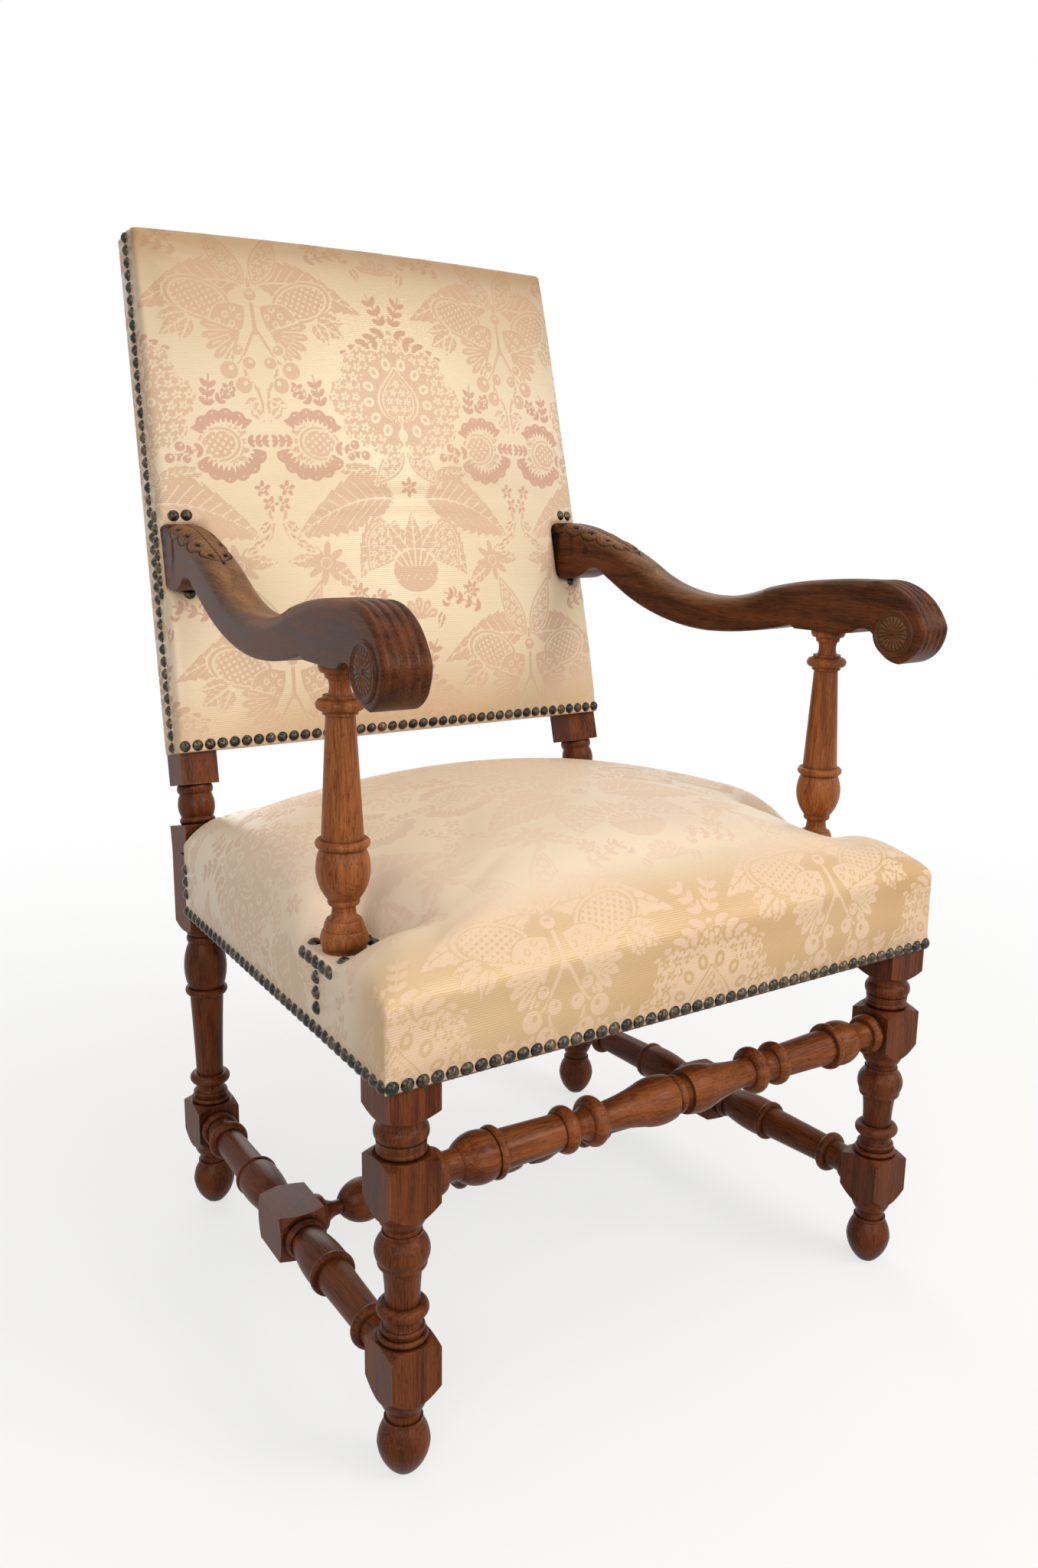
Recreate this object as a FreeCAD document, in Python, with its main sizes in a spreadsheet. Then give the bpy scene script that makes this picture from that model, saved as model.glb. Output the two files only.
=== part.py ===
import FreeCAD, Part
import math
import os

import Sketcher

# Open-arm chair in walnut: turned legs, turned H stretcher, scrolled arms on turned supports,
# a stuffed-over seat and a tall raked back, both covered in cloth and edged with domed nails.
# Millimetres. +Z is up, the front faces -Y, and the origin lies on the floor under the middle of the box.
# Left and right are as seen from the front, so left is at -X.

Vector = FreeCAD.Vector
Rotation = FreeCAD.Rotation
Placement = FreeCAD.Placement

SIDES = {"left": -1, "right": 1}

doc = FreeCAD.newDocument("open_arm_chair")
sheet = doc.addObject("Spreadsheet::Sheet", "Sizes")
cells = []


def cell(name, content):
    """Writes one named size to the next row: a plain number, or a formula that starts with an equals sign."""
    row = len(cells) + 1
    cells.append(name)
    sheet.set(f"A{row}", name)
    sheet.set(f"B{row}", str(content))
    sheet.setAlias(f"B{row}", name)


def number(name):
    """The present value of a named size."""
    return float(sheet.get(name))


# Driving sizes of the whole chair.
DRIVING = {
    "front_leg_spacing": 585,
    "rear_leg_spacing": 532,
    "leg_depth": 507,
    "leg_stock": 48,
    "rail_bottom": 362,
    "rail_height": 66,
    "rail_thickness": 42,
    "rake": 12.7,
    "lean": 1.6,
    "bend_below_rail_top": 0.5,
    "post_stock": 42,
    "back_top": 1092,
    "back_cover_bottom": 534,
    "arm_under": 684,
    "arm_width": 42,
    "arm_end_rise": 66,
    "support_from_front_leg": 109,
    "tenon_clearance": 0.1,
    "soft_clearance": 0.3,
    "cloth": 1.5,
    "rail_tenon_length": 18,
    "rail_tenon_thickness": 16,
    "rail_tenon_shoulder": 10,
    "bore_over_depth": 1,
    "block_top_drop": 6,
    "block_bottom_drop": 13,
    "corner_slack": 1,
    "nail_head": 12.4,
    "nail_rise": 4.4,
    "nail_pitch": 13.8,
    "nail_row_height": 7,
}

# Places that follow from the driving sizes. The chair's box is centred on the origin front to back.
DERIVED = {
    "half_leg": "=leg_stock / 2",
    "half_post": "=post_stock / 2",
    "rail_top": "=rail_bottom + rail_height",
    "bend_height": "=rail_top - bend_below_rail_top",
    "slope": "=tan(rake * 1deg)",
    "skin": "=cloth + soft_clearance",
    "front_reach": "=half_leg + skin + nail_rise",
    "rear_reach": "=(back_top - bend_height) * slope + (half_post + skin) * cos(rake * 1deg)",
    "front_y": "=-(leg_depth + rear_reach - front_reach) / 2",
    "rear_y": "=front_y + leg_depth",
    "middle_y": "=(front_y + rear_y) / 2",
    "side_slant": "=atan((front_leg_spacing - rear_leg_spacing) / 2 / leg_depth) / 1deg",
    "side_swell": "=half_leg * tan(side_slant * 1deg)",
    "side_axis_length": "=leg_depth / cos(side_slant * 1deg)",
    "side_axis_x": "=(front_leg_spacing + rear_leg_spacing) / 4",
    "support_y": "=front_y + support_from_front_leg",
    "support_x": "=front_leg_spacing / 2 - support_from_front_leg * tan(side_slant * 1deg)",
    "arm_end_middle": "=arm_under + arm_end_rise",
    "arm_end_x": "=rear_leg_spacing / 2 - (arm_end_middle - bend_height) * tan(lean * 1deg)",
    "arm_end_y": "=rear_y + (arm_end_middle - bend_height) * slope - half_post / cos(rake * 1deg)",
    "arm_slant": "=atan((support_x - arm_end_x) / (arm_end_y - support_y)) / 1deg",
    "arm_length": "=(arm_end_y - support_y) / cos(arm_slant * 1deg)",
    "post_length": "=(back_top - bend_height) / cos(rake * 1deg)",
}

# Turnings, listed along the axis: element, diameter where it starts, at its middle and where it ends, length.
# A middle of None is a straight run; otherwise the outline is an arc through the three diameters.
LEG_BASE = [
    ("foot_under", 19.5, 39.5, 46.5, 28),
    ("foot_over", 46.5, 42.5, 32, 21),
    ("foot_fillet", 34, None, 34, 3),
    ("foot_neck", 30, None, 30, 8),
    ("lower_bowl", 32, 39.5, 42.5, 14),
    ("lower_block", 42.5, None, 42.5, 54),
    ("base_ring", 39.5, 43.5, 39.5, 6),
    ("base_step", 35.5, None, 35.5, 2),
    ("second_ring", 35.5, 38.5, 35.5, 5),
    ("base_neck", 34, 31.5, 34, 9),
    ("collar", 34.5, 45, 34.5, 12),
]
FRONT_LEG = [
    ("shaft", 30, 31, 34.5, 34),
    ("lip", 40.5, 42.5, 41.5, 5),
    ("ball", 42.5, 47, 33, 24),
    ("ball_fillet", 34.5, None, 34.5, 3),
    ("ball_neck", 32, None, 32, 4),
    ("upper_bowl", 32, 39.5, 42.5, 12),
    ("upper_block", 42.5, None, 42.5, 54),
    ("top_ring", 38.5, 42.5, 39.5, 6.5),
    ("ring_band", 41.5, None, 42.5, 6),
    ("top_bead", 40.5, 46.5, 40.5, 14),
    ("top_cove", 40.5, 39.5, 42.5, 8),
]
REAR_LEG = [
    ("long_shaft", 30, 33, 37.5, 98),
    ("shaft_ring", 43.5, 47, 43.5, 8),
    ("vase", 39.5, 47.5, 34.5, 54),
    ("vase_ring", 36.5, 39.5, 36.5, 8),
    ("seat_bowl", 34.5, 40, 42.5, 8),
]
POST = [
    ("elbow", 36.5, None, 36.5, 30),
    ("low_ring", 35.5, 39, 35.5, 8),
    ("knop", 34.5, 40.5, 34.5, 26),
    ("high_ring", 35.5, 39.5, 36.5, 10),
]
FRONT_STRETCHER = [
    ("tenon", 20, None, 20, 22),
    ("end_ring", 40.5, 42, 37.5, 11),
    ("end_neck", 30, 27, 29, 17),
    ("ball", 30, 45.5, 41.5, 33),
    ("ball_fillet", 44.5, 47.5, 44.5, 7),
    ("taper", 36.5, None, 32.5, None),
    ("outer_disc", 35.5, 43.5, 35.5, 14),
    ("disc_cove", 32, 25, 32, 16),
    ("inner_disc", 35.5, 46.5, 35.5, 15),
    ("pear_neck", 31, 27.5, 28, 11),
    ("pear_rise", 28, 32.5, 40, 38),
    ("pear_swell", 40, 46, 42.5, 33),
    ("pear_groove", 34, 32.5, 34, 5),
    ("centre_bead", 34.5, 36.5, 37, 4),
]
SIDE_STRETCHER = [
    ("tenon", 20, None, 20, 22),
    ("cup", 40.5, 41.5, 36.5, 10),
    ("cup_neck", 33, 30, 32, 18),
    ("collar", 34.5, 44.5, 34.5, 12),
    ("shaft", 31.5, None, 35, None),
    ("fillet", 42.5, 45.5, 43.5, 7),
    ("bell", 42.5, 42, 33, 58),
    ("block_ring", 36.5, 41.5, 38.5, 10),
    ("block_core", 38.5, None, 38.5, 32),
]
CROSS_STRETCHER = [
    ("tenon", 18, None, 18, 18),
    ("cup", 38.5, 39.5, 34.5, 9),
    ("cup_cove", 29, 20.5, 15.5, 12),
    ("neck", 15.5, 15, 15.5, 8),
    ("ball", 19.5, 44.5, 40.5, 38),
    ("ball_fillet", 43.5, 45.5, 43.5, 6),
    ("taper", 34.5, None, 31, None),
    ("outer_disc", 34.5, 41.5, 34.5, 12),
    ("disc_cove", 31, 24, 31, 14),
    ("inner_disc", 34.5, 43.5, 34.5, 13),
    ("pear_neck", 29, 26, 27, 9),
    ("pear_rise", 27, 31, 37.5, 32),
    ("pear_swell", 37.5, 43.5, 40.5, 28),
    ("pear_groove", 33, 31, 33, 5),
    ("centre_bead", 34, 35, 35.5, 4),
]
ARM_SUPPORT = [
    ("foot_tenon", 18, None, 18, 30),
    ("base_seat", 38, None, 38, 12),
    ("base_disc", 38.5, 41.5, 36.5, 16),
    ("base_cone", 35.5, 34, 30, 9),
    ("base_cove", 27, 22, 21, 8),
    ("base_neck", 20.5, None, 20.5, 5),
    ("vase_lip", 26, 28, 27, 5),
    ("vase", 28, 46.5, 38.5, 45),
    ("vase_ring", 41.5, 47, 41.5, 8),
    ("column", 36.5, None, 25, None),
    ("column_fillet", 30, None, 30, 3),
    ("torus", 32, 41.5, 32, 10),
    ("torus_fillet", 29, None, 29, 3),
    ("cap_neck", 21, 18, 21, 14),
    ("cap_step", 24, None, 26, 5),
    ("cap", 32, 35.5, 35.5, 7),
    ("head_tenon", 16, None, 16, 22),
]


def turning(piece, rows, total=None, skip=()):
    """Writes a turning's sizes to the sheet and returns its elements as sets of names, in order.

    A length of None is worked out, so that the rows other than the skipped ones add up to the named total."""
    elements = []
    fixed = [f"{piece}_{row[0]}_long" for row in rows if row[4] is not None and row[0] not in skip]
    for name, start, middle, end, length in rows:
        stem = f"{piece}_{name}"
        cell(f"{stem}_start", start)
        cell(f"{stem}_end", end)
        if middle is not None:
            cell(f"{stem}_middle", middle)
        elements.append(
            {
                "name": name,
                "start": f"{stem}_start",
                "middle": f"{stem}_middle" if middle is not None else None,
                "end": f"{stem}_end",
                "long": f"{stem}_long",
            }
        )
        if length is not None:
            cell(f"{stem}_long", length)
    for row in rows:
        if row[4] is None:
            cell(f"{piece}_{row[0]}_long", "=" + " - ".join([total] + fixed))
    return elements


def heights(piece, elements):
    """Names the height at which each element of an upright turning starts."""
    run = "0"
    for element in elements:
        cell(f"{piece}_{element['name']}_height", f"={run}")
        run = f"{piece}_{element['name']}_height + {element['long']}"


def mirrored(elements):
    """The same elements met from the other end."""
    return [{**e, "start": e["end"], "end": e["start"]} for e in reversed(elements)]


for name, value in DRIVING.items():
    cell(name, value)
for name, formula in DERIVED.items():
    cell(name, formula)

leg_base = turning("leg", LEG_BASE)
front_leg = leg_base + turning("front_leg", FRONT_LEG)
rear_leg = leg_base + turning("rear_leg", REAR_LEG)
heights("front", front_leg)
heights("rear", rear_leg)
cell("front_top_block_height", "=front_top_cove_height + front_leg_top_cove_long")
cell("rear_seat_block_height", "=rear_seat_bowl_height + rear_leg_seat_bowl_long")
post_turning = turning("post", POST)
heights("post", post_turning)
cell("post_stock_height", "=post_high_ring_height + post_high_ring_long")
cell("front_span", "=front_leg_spacing / 2 - half_leg")
front_stretcher = turning("front_stretcher", FRONT_STRETCHER, "front_span", ("tenon",))
cell("side_gap", "=side_stretcher_cup_start / 2 * tan(side_slant * 1deg)")
cell("side_span", "=side_axis_length / 2 - half_leg / cos(side_slant * 1deg) - side_gap")
side_stretcher = turning("side_stretcher", SIDE_STRETCHER, "side_span", ("tenon",))
cell("cross_gap", "=cross_stretcher_cup_start / 2 * tan(side_slant * 1deg)")
cell("cross_span", "=side_axis_x - half_leg / cos(side_slant * 1deg) - cross_gap")
cross_stretcher = turning("cross_stretcher", CROSS_STRETCHER, "cross_span", ("tenon",))
cell("support_span", "=arm_under - rail_top")
arm_support = turning("support", ARM_SUPPORT, "support_span", ("foot_tenon", "head_tenon"))
cell("side_stretcher_height", "=front_lower_block_height + leg_lower_block_long / 2")
cell("front_stretcher_height", "=front_upper_block_height + front_leg_upper_block_long / 2")
sheet.recompute()


def bind(obj, **expressions):
    """Ties properties of an object to the sheet."""
    for path, expression in expressions.items():
        obj.setExpression(path.replace("__", "."), expression)


def named(expression_name, factor=""):
    """A sheet size as other objects refer to it."""
    return f"Sizes.{expression_name}{factor}"


def new_sketch(body, name, role, lift=None):
    """A sketch on one of the body's own planes, raised along that plane's normal by a named size."""
    sketch = body.newObject("Sketcher::SketchObject", name)
    plane = [f for f in body.Origin.OriginFeatures if f.Role == role][0]
    sketch.AttachmentSupport = (plane, [""])
    sketch.MapMode = "FlatFace"
    if lift is not None:
        sketch.setExpression("AttachmentOffset.Base.z", lift)
    return sketch


ORIGIN = -1
VERTICAL_AXIS = -2


class Outline:
    """A closed outline drawn corner by corner, each corner set by named sizes."""

    def __init__(self, sketch):
        self.sketch = sketch
        self.rules = []
        self.ties = []

    def rule(self, *parts):
        self.rules.append(Sketcher.Constraint(*parts))

    def tied(self, kind, first, second, value, expression):
        self.ties.append((len(self.rules), expression))
        self.rule(kind, *first, *second, value)

    def line(self, start, end):
        index = self.sketch.addGeometry(Part.LineSegment(Vector(*start, 0), Vector(*end, 0)), False)
        return index, 1, 2

    def arc(self, start, middle, end):
        """An arc, and which of its ends the outline meets first: arcs are drawn anticlockwise."""
        bend = (middle[0] - start[0]) * (end[1] - start[1]) - (middle[1] - start[1]) * (end[0] - start[0])
        first, last = (start, end) if bend > 0 else (end, start)
        curve = Part.Arc(Vector(*first, 0), Vector(*middle, 0), Vector(*last, 0))
        index = self.sketch.addGeometry(curve, False)
        return (index, 1, 2) if bend > 0 else (index, 2, 1)

    def guide(self, place, curve):
        """A point that the arc passes through."""
        index = self.sketch.addGeometry(Part.Point(Vector(*place, 0)), True)
        self.rule("PointOnObject", index, 1, curve)
        return index

    def join(self, edges):
        for edge, after in zip(edges, edges[1:] + edges[:1]):
            self.rule("Coincident", edge[0], edge[2], after[0], after[1])

    def close(self):
        self.sketch.addConstraint(self.rules)
        for index, expression in self.ties:
            self.sketch.setExpression(f"Constraints[{index}]", expression)


def turn(body, name, elements):
    """Revolves a turning about the body's Z axis, from its base plane up."""
    sketch = new_sketch(body, name + "_outline", "XZ_Plane")
    outline = Outline(sketch)
    radius = number(elements[0]["start"]) / 2
    height = 0.0
    edges = [outline.line((0, 0), (radius, 0))]
    outline.rule("Coincident", edges[0][0], 1, ORIGIN, 1)
    outline.rule("Horizontal", edges[0][0])
    outline.tied(
        "DistanceX", (ORIGIN, 1), (edges[0][0], 2), radius, named(elements[0]["start"], " / 2")
    )
    for element in elements:
        start = number(element["start"]) / 2
        end = number(element["end"]) / 2
        length = number(element["long"])
        if abs(start - radius) > 1e-6:
            step = outline.line((radius, height), (start, height))
            outline.rule("Horizontal", step[0])
            outline.tied(
                "DistanceX", (ORIGIN, 1), (step[0], 2), start, named(element["start"], " / 2")
            )
            edges.append(step)
        if element["middle"] is None:
            edge = outline.line((start, height), (end, height + length))
        else:
            middle = (number(element["middle"]) / 2, height + length / 2)
            edge = outline.arc((start, height), middle, (end, height + length))
            guide = outline.guide(middle, edge[0])
            outline.tied(
                "DistanceX", (ORIGIN, 1), (guide, 1), middle[0], named(element["middle"], " / 2")
            )
            outline.tied(
                "DistanceY", (edge[0], edge[1]), (guide, 1), length / 2, named(element["long"], " / 2")
            )
        if element["middle"] is None and abs(start - end) < 1e-6:
            outline.rule("Vertical", edge[0])
        else:
            outline.tied(
                "DistanceX", (ORIGIN, 1), (edge[0], edge[2]), end, named(element["end"], " / 2")
            )
        outline.tied(
            "DistanceY", (edge[0], edge[1]), (edge[0], edge[2]), length, named(element["long"])
        )
        edges.append(edge)
        radius = end
        height += length
    top = outline.line((radius, height), (0, height))
    outline.rule("Horizontal", top[0])
    outline.rule("PointOnObject", top[0], 2, VERTICAL_AXIS)
    edges.append(top)
    edges.append(outline.line((0, height), (0, 0)))
    outline.join(edges)
    outline.close()
    revolution = body.newObject("PartDesign::Revolution", name + "_turning")
    revolution.Profile = sketch
    revolution.ReferenceAxis = (sketch, ["V_Axis"])
    revolution.Angle = 360
    return revolution


def square(body, name, width, base, length):
    """A square block on the body's axis, from a named height, of a named length."""
    sketch = new_sketch(body, name + "_square", "XY_Plane", base)
    outline = Outline(sketch)
    half = number(width) / 2
    corners = [(-half, -half), (half, -half), (half, half), (-half, half)]
    edges = [outline.line(a, b) for a, b in zip(corners, corners[1:] + corners[:1])]
    outline.join(edges)
    for edge, kind in zip(edges, ("Horizontal", "Vertical", "Horizontal", "Vertical")):
        outline.rule(kind, edge[0])
    outline.rule("Symmetric", edges[0][0], 1, edges[2][0], 1, ORIGIN, 1)
    outline.tied("DistanceX", (edges[0][0], 1), (edges[0][0], 2), 2 * half, named(width))
    outline.tied("DistanceY", (edges[1][0], 1), (edges[1][0], 2), 2 * half, named(width))
    outline.close()
    pad = body.newObject("PartDesign::Pad", name + "_block")
    pad.Profile = sketch
    pad.setExpression("Length", length)
    return pad


def shoulder(body, name, width, height, drop, upper):
    """Turns off the four corners at one end of a square block, as the lathe does."""
    cell(f"{name}_inner", f"={width} / 2")
    cell(f"{name}_outer", f"={width} / sqrt(2) + corner_slack")
    cell(f"{name}_end", f"={height}")
    cell(f"{name}_foot", f"={height} {'-' if upper else '+'} {drop}")
    sheet.recompute()
    sketch = new_sketch(body, name + "_corner", "XZ_Plane")
    outline = Outline(sketch)
    inner, outer = number(f"{name}_inner"), number(f"{name}_outer")
    end, foot = number(f"{name}_end"), number(f"{name}_foot")
    corners = [(inner, end), (outer, end), (outer, foot)]
    edges = [outline.line(a, b) for a, b in zip(corners, corners[1:] + corners[:1])]
    outline.join(edges)
    outline.rule("Horizontal", edges[0][0])
    outline.rule("Vertical", edges[1][0])
    outline.tied("DistanceX", (ORIGIN, 1), (edges[0][0], 1), inner, named(f"{name}_inner"))
    outline.tied("DistanceX", (ORIGIN, 1), (edges[0][0], 2), outer, named(f"{name}_outer"))
    outline.tied("DistanceY", (ORIGIN, 1), (edges[0][0], 1), end, named(f"{name}_end"))
    outline.tied("DistanceY", (ORIGIN, 1), (edges[1][0], 2), foot, named(f"{name}_foot"))
    outline.close()
    groove = body.newObject("PartDesign::Groove", name + "_turned")
    groove.Profile = sketch
    groove.ReferenceAxis = (sketch, ["V_Axis"])
    groove.Angle = 360
    return groove


def box(name, size, corner, placement=None):
    """A rectangular solid whose sizes and low corner are expressions, in the given placement's frame."""
    solid = doc.addObject("Part::Box", name)
    bind(solid, Length=size[0], Width=size[1], Height=size[2])
    if placement is None:
        bind(
            solid,
            Placement__Base__x=corner[0],
            Placement__Base__y=corner[1],
            Placement__Base__z=corner[2],
        )
    else:
        solid.Placement = placement.multiply(Placement(Vector(*corner), Rotation()))
    return solid


def rod(name, diameter, length, place, rotation):
    """A round solid on an axis: the rotation carries +Z to the axis."""
    solid = doc.addObject("Part::Cylinder", name)
    bind(solid, Radius=f"({diameter}) / 2", Height=length)
    solid.Placement = Placement(Vector(0, 0, 0), rotation)
    bind(
        solid,
        Placement__Base__x=place[0],
        Placement__Base__y=place[1],
        Placement__Base__z=place[2],
    )
    return solid


def fused(name, shapes):
    result = doc.addObject("Part::MultiFuse", name)
    result.Shapes = shapes
    return result


def cut(name, base, tools):
    """The base less all the tools, which share no space with each other."""
    result = doc.addObject("Part::Cut", name)
    result.Base = base
    if len(tools) == 1:
        result.Tool = tools[0]
    else:
        group = doc.addObject("Part::Compound", name + "_tools")
        group.Links = tools
        result.Tool = group
    return result


def set_place(obj, x, y, z, rotation=None):
    """Places an object by three expressions and a rotation."""
    obj.Placement = Placement(Vector(0, 0, 0), rotation or Rotation())
    bind(obj, Placement__Base__x=x, Placement__Base__y=y, Placement__Base__z=z)


pieces = {}


def piece(label, obj):
    """Names a finished sub-part."""
    obj.Label = label
    pieces[label] = obj
    return obj


TO_X = Rotation(Vector(0, 1, 0), 90)
TO_MINUS_X = Rotation(Vector(0, 1, 0), -90)
TO_Y = Rotation(Vector(1, 0, 0), -90)
TO_MINUS_Y = Rotation(Vector(1, 0, 0), 90)
X_AXIS = Vector(1, 0, 0)
Y_AXIS = Vector(0, 1, 0)
Z_AXIS = Vector(0, 0, 1)

REACH = "800"
back_rotation = Rotation(X_AXIS, -number("rake"))
back_place = Placement(Vector(0, number("rear_y"), number("bend_height")), back_rotation)


def post_place(side):
    """The frame of a back post: raked backwards and leaning in towards the middle."""
    lean = Rotation(Y_AXIS, -side * number("lean"))
    base = Vector(side * number("rear_leg_spacing") / 2, number("rear_y"), number("bend_height"))
    return Placement(base, back_rotation.multiply(lean))


# Bores and mortises take the tenon that fits them plus the clearance all round.
FIT = "Sizes.tenon_clearance"
ROUND_TENON = "Sizes.{0}_tenon_start + 2 * " + FIT
ROUND_DEPTH = "Sizes.{0}_tenon_long + Sizes.bore_over_depth"
RAIL_TENON_HEIGHT = "Sizes.rail_height - 2 * Sizes.rail_tenon_shoulder"
RAIL_TENON_BASE = "Sizes.rail_bottom + Sizes.rail_tenon_shoulder"
RAIL_OFFSET = "(Sizes.half_leg - Sizes.rail_thickness / 2)"


def rail_mortise(name, along_x, centre, face, inward):
    """A slot for a seat rail's tenon, cut into a leg from one of its faces.

    centre is the slot's middle across the face, face the face's place, inward +1 or -1 along the tenon."""
    depth = "Sizes.rail_tenon_length + Sizes.bore_over_depth"
    thick = f"Sizes.rail_tenon_thickness + 2 * {FIT}"
    tall = f"{RAIL_TENON_HEIGHT} + 2 * {FIT}"
    low = f"{RAIL_TENON_BASE} - {FIT}"
    start = face if inward > 0 else f"{face} - ({depth})"
    across = f"{centre} - ({thick}) / 2"
    if along_x:
        return box(name, (depth, thick, tall), (start, across, low))
    return box(name, (thick, depth, tall), (across, start, low))


def front_leg_piece(side_name, side):
    """A front leg: foot, two square blocks that take the stretchers and a third that takes the seat rails."""
    stem = f"front_leg_{side_name}"
    body = doc.addObject("PartDesign::Body", stem + "_stock")
    turn(body, stem, front_leg)
    low_height, low_long = named("front_lower_block_height"), named("leg_lower_block_long")
    square(body, stem + "_lower", "leg_stock", low_height, low_long)
    square(
        body,
        stem + "_upper",
        "leg_stock",
        named("front_upper_block_height"),
        named("front_leg_upper_block_long"),
    )
    square(
        body,
        stem + "_top",
        "leg_stock",
        named("front_top_block_height"),
        "Sizes.rail_top - Sizes.front_top_block_height",
    )
    for block in ("lower", "upper"):
        low = f"front_{block}_block_height"
        long = "leg_lower_block_long" if block == "lower" else "front_leg_upper_block_long"
        shoulder(body, f"{stem}_{block}_under", "leg_stock", low, "block_bottom_drop", False)
        shoulder(body, f"{stem}_{block}_over", "leg_stock", f"{low} + {long}", "block_top_drop", True)
    shoulder(body, f"{stem}_top_under", "leg_stock", "front_top_block_height", "block_top_drop", False)
    x = f"{side} * Sizes.front_leg_spacing / 2"
    set_place(body, x, named("front_y"), "0")
    inner_face = f"{x} - {side} * Sizes.half_leg"
    tools = [
        rail_mortise(stem + "_front_slot", True, f"Sizes.front_y - {RAIL_OFFSET}", inner_face, side),
        rail_mortise(
            stem + "_side_slot", False, f"{x} + {side} * {RAIL_OFFSET}", "Sizes.front_y + Sizes.half_leg", -1
        ),
        rod(
            stem + "_front_bore",
            ROUND_TENON.format("front_stretcher"),
            ROUND_DEPTH.format("front_stretcher"),
            (inner_face, named("front_y"), named("front_stretcher_height")),
            TO_X if side > 0 else TO_MINUS_X,
        ),
        side_bore(stem + "_side_bore", side, "front"),
    ]
    return piece(stem, cut(stem, body, tools))


def side_bore(name, side, end):
    """The bore for a side stretcher's tenon, on the stretcher's own slanted axis."""
    slant = Rotation(Z_AXIS, side * number("side_slant"))
    x = f"{side} * Sizes.{end}_leg_spacing / 2"
    inset = "Sizes.half_leg - (Sizes.side_stretcher_tenon_long + Sizes.bore_over_depth)"
    shift = f"({inset}) * tan(Sizes.side_slant * 1deg)"
    if end == "front":
        place = (f"{x} - {side} * {shift}", f"Sizes.front_y + {inset}", named("side_stretcher_height"))
        return rod(
            name,
            ROUND_TENON.format("side_stretcher"),
            ROUND_DEPTH.format("side_stretcher") + " + Sizes.half_leg",
            place,
            slant.multiply(TO_Y),
        )
    place = (f"{x} + {side} * {shift}", f"Sizes.rear_y - ({inset})", named("side_stretcher_height"))
    return rod(
        name,
        ROUND_TENON.format("side_stretcher"),
        ROUND_DEPTH.format("side_stretcher") + " + Sizes.half_leg",
        place,
        slant.multiply(TO_MINUS_Y),
    )


# Back rails: two flat rails tenoned between the posts, in the raked frame of the back.
cell("back_rail_thickness", 28)
cell("back_rail_setback", 5)
cell("back_rail_tenon_thickness", 12)
cell("back_rail_tenon_length", 16)
cell("back_rail_tenon_shoulder", 8)
cell("bottom_rail_start", "=(back_cover_bottom + 6 - bend_height) / cos(rake * 1deg)")
cell("bottom_rail_height", 70)
cell("top_rail_height", 75)
cell("top_rail_start", "=post_length - top_rail_height")
sheet.recompute()


def back_rail_box(name, rail, core, grow="0"):
    """A back rail's full section, or the thinner core that runs on into the posts as its tenons."""
    start = number(f"{rail}_rail_start")
    tall = f"Sizes.{rail}_rail_height"
    middle = start + number(f"{rail}_rail_height") / 2
    inner = (
        number("rear_leg_spacing") / 2
        - number("half_post") / math.cos(math.radians(number("lean")))
        - middle * math.tan(math.radians(number("lean")))
    )
    front = -number("half_post") + number("back_rail_setback")
    thick = number("back_rail_thickness")
    if not core:
        half = inner + number("half_post")
        return box(
            name,
            (f"{2 * half}", "Sizes.back_rail_thickness", tall),
            (-half, front, start),
            back_place,
        )
    extra = number("tenon_clearance") if grow != "0" else 0.0
    half = inner + number("back_rail_tenon_length") + (number("bore_over_depth") if extra else 0.0)
    step = number("back_rail_tenon_shoulder")
    thin = number("back_rail_tenon_thickness")
    return box(
        name,
        (
            f"{2 * half}",
            f"Sizes.back_rail_tenon_thickness + 2 * {extra}",
            f"{tall} - 2 * Sizes.back_rail_tenon_shoulder + 2 * {extra}",
        ),
        (-half, front + (thick - thin) / 2 - extra, start + step - extra),
        back_place,
    )


# The arm's tenon runs along the arm into the middle of the post's front face.
cell("arm_tenon_thickness", 16)
cell("arm_tenon_height", 36)
cell("arm_tenon_length", 18)
sheet.recompute()


def arm_place(side):
    """The frame of an arm: its origin on the support's axis at the floor, its Y running back to the post."""
    base = Vector(side * number("support_x"), number("support_y"), 0)
    return Placement(base, Rotation(Z_AXIS, side * number("arm_slant")))


def arm_tenon(name, side, extra):
    """The arm's tenon, or its mortise when extra is the clearance."""
    thick = number("arm_tenon_thickness")
    tall = number("arm_tenon_height")
    start = number("arm_length") - number("half_post")
    depth = number("arm_tenon_length") + number("half_post") + (number("bore_over_depth") if extra else 0.0)
    return box(
        name,
        (
            f"Sizes.arm_tenon_thickness + 2 * {extra}",
            f"{depth}",
            f"Sizes.arm_tenon_height + 2 * {extra}",
        ),
        (-thick / 2 - extra, start, number("arm_end_middle") - tall / 2 - extra),
        arm_place(side),
    )


post_stocks = {}


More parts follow.
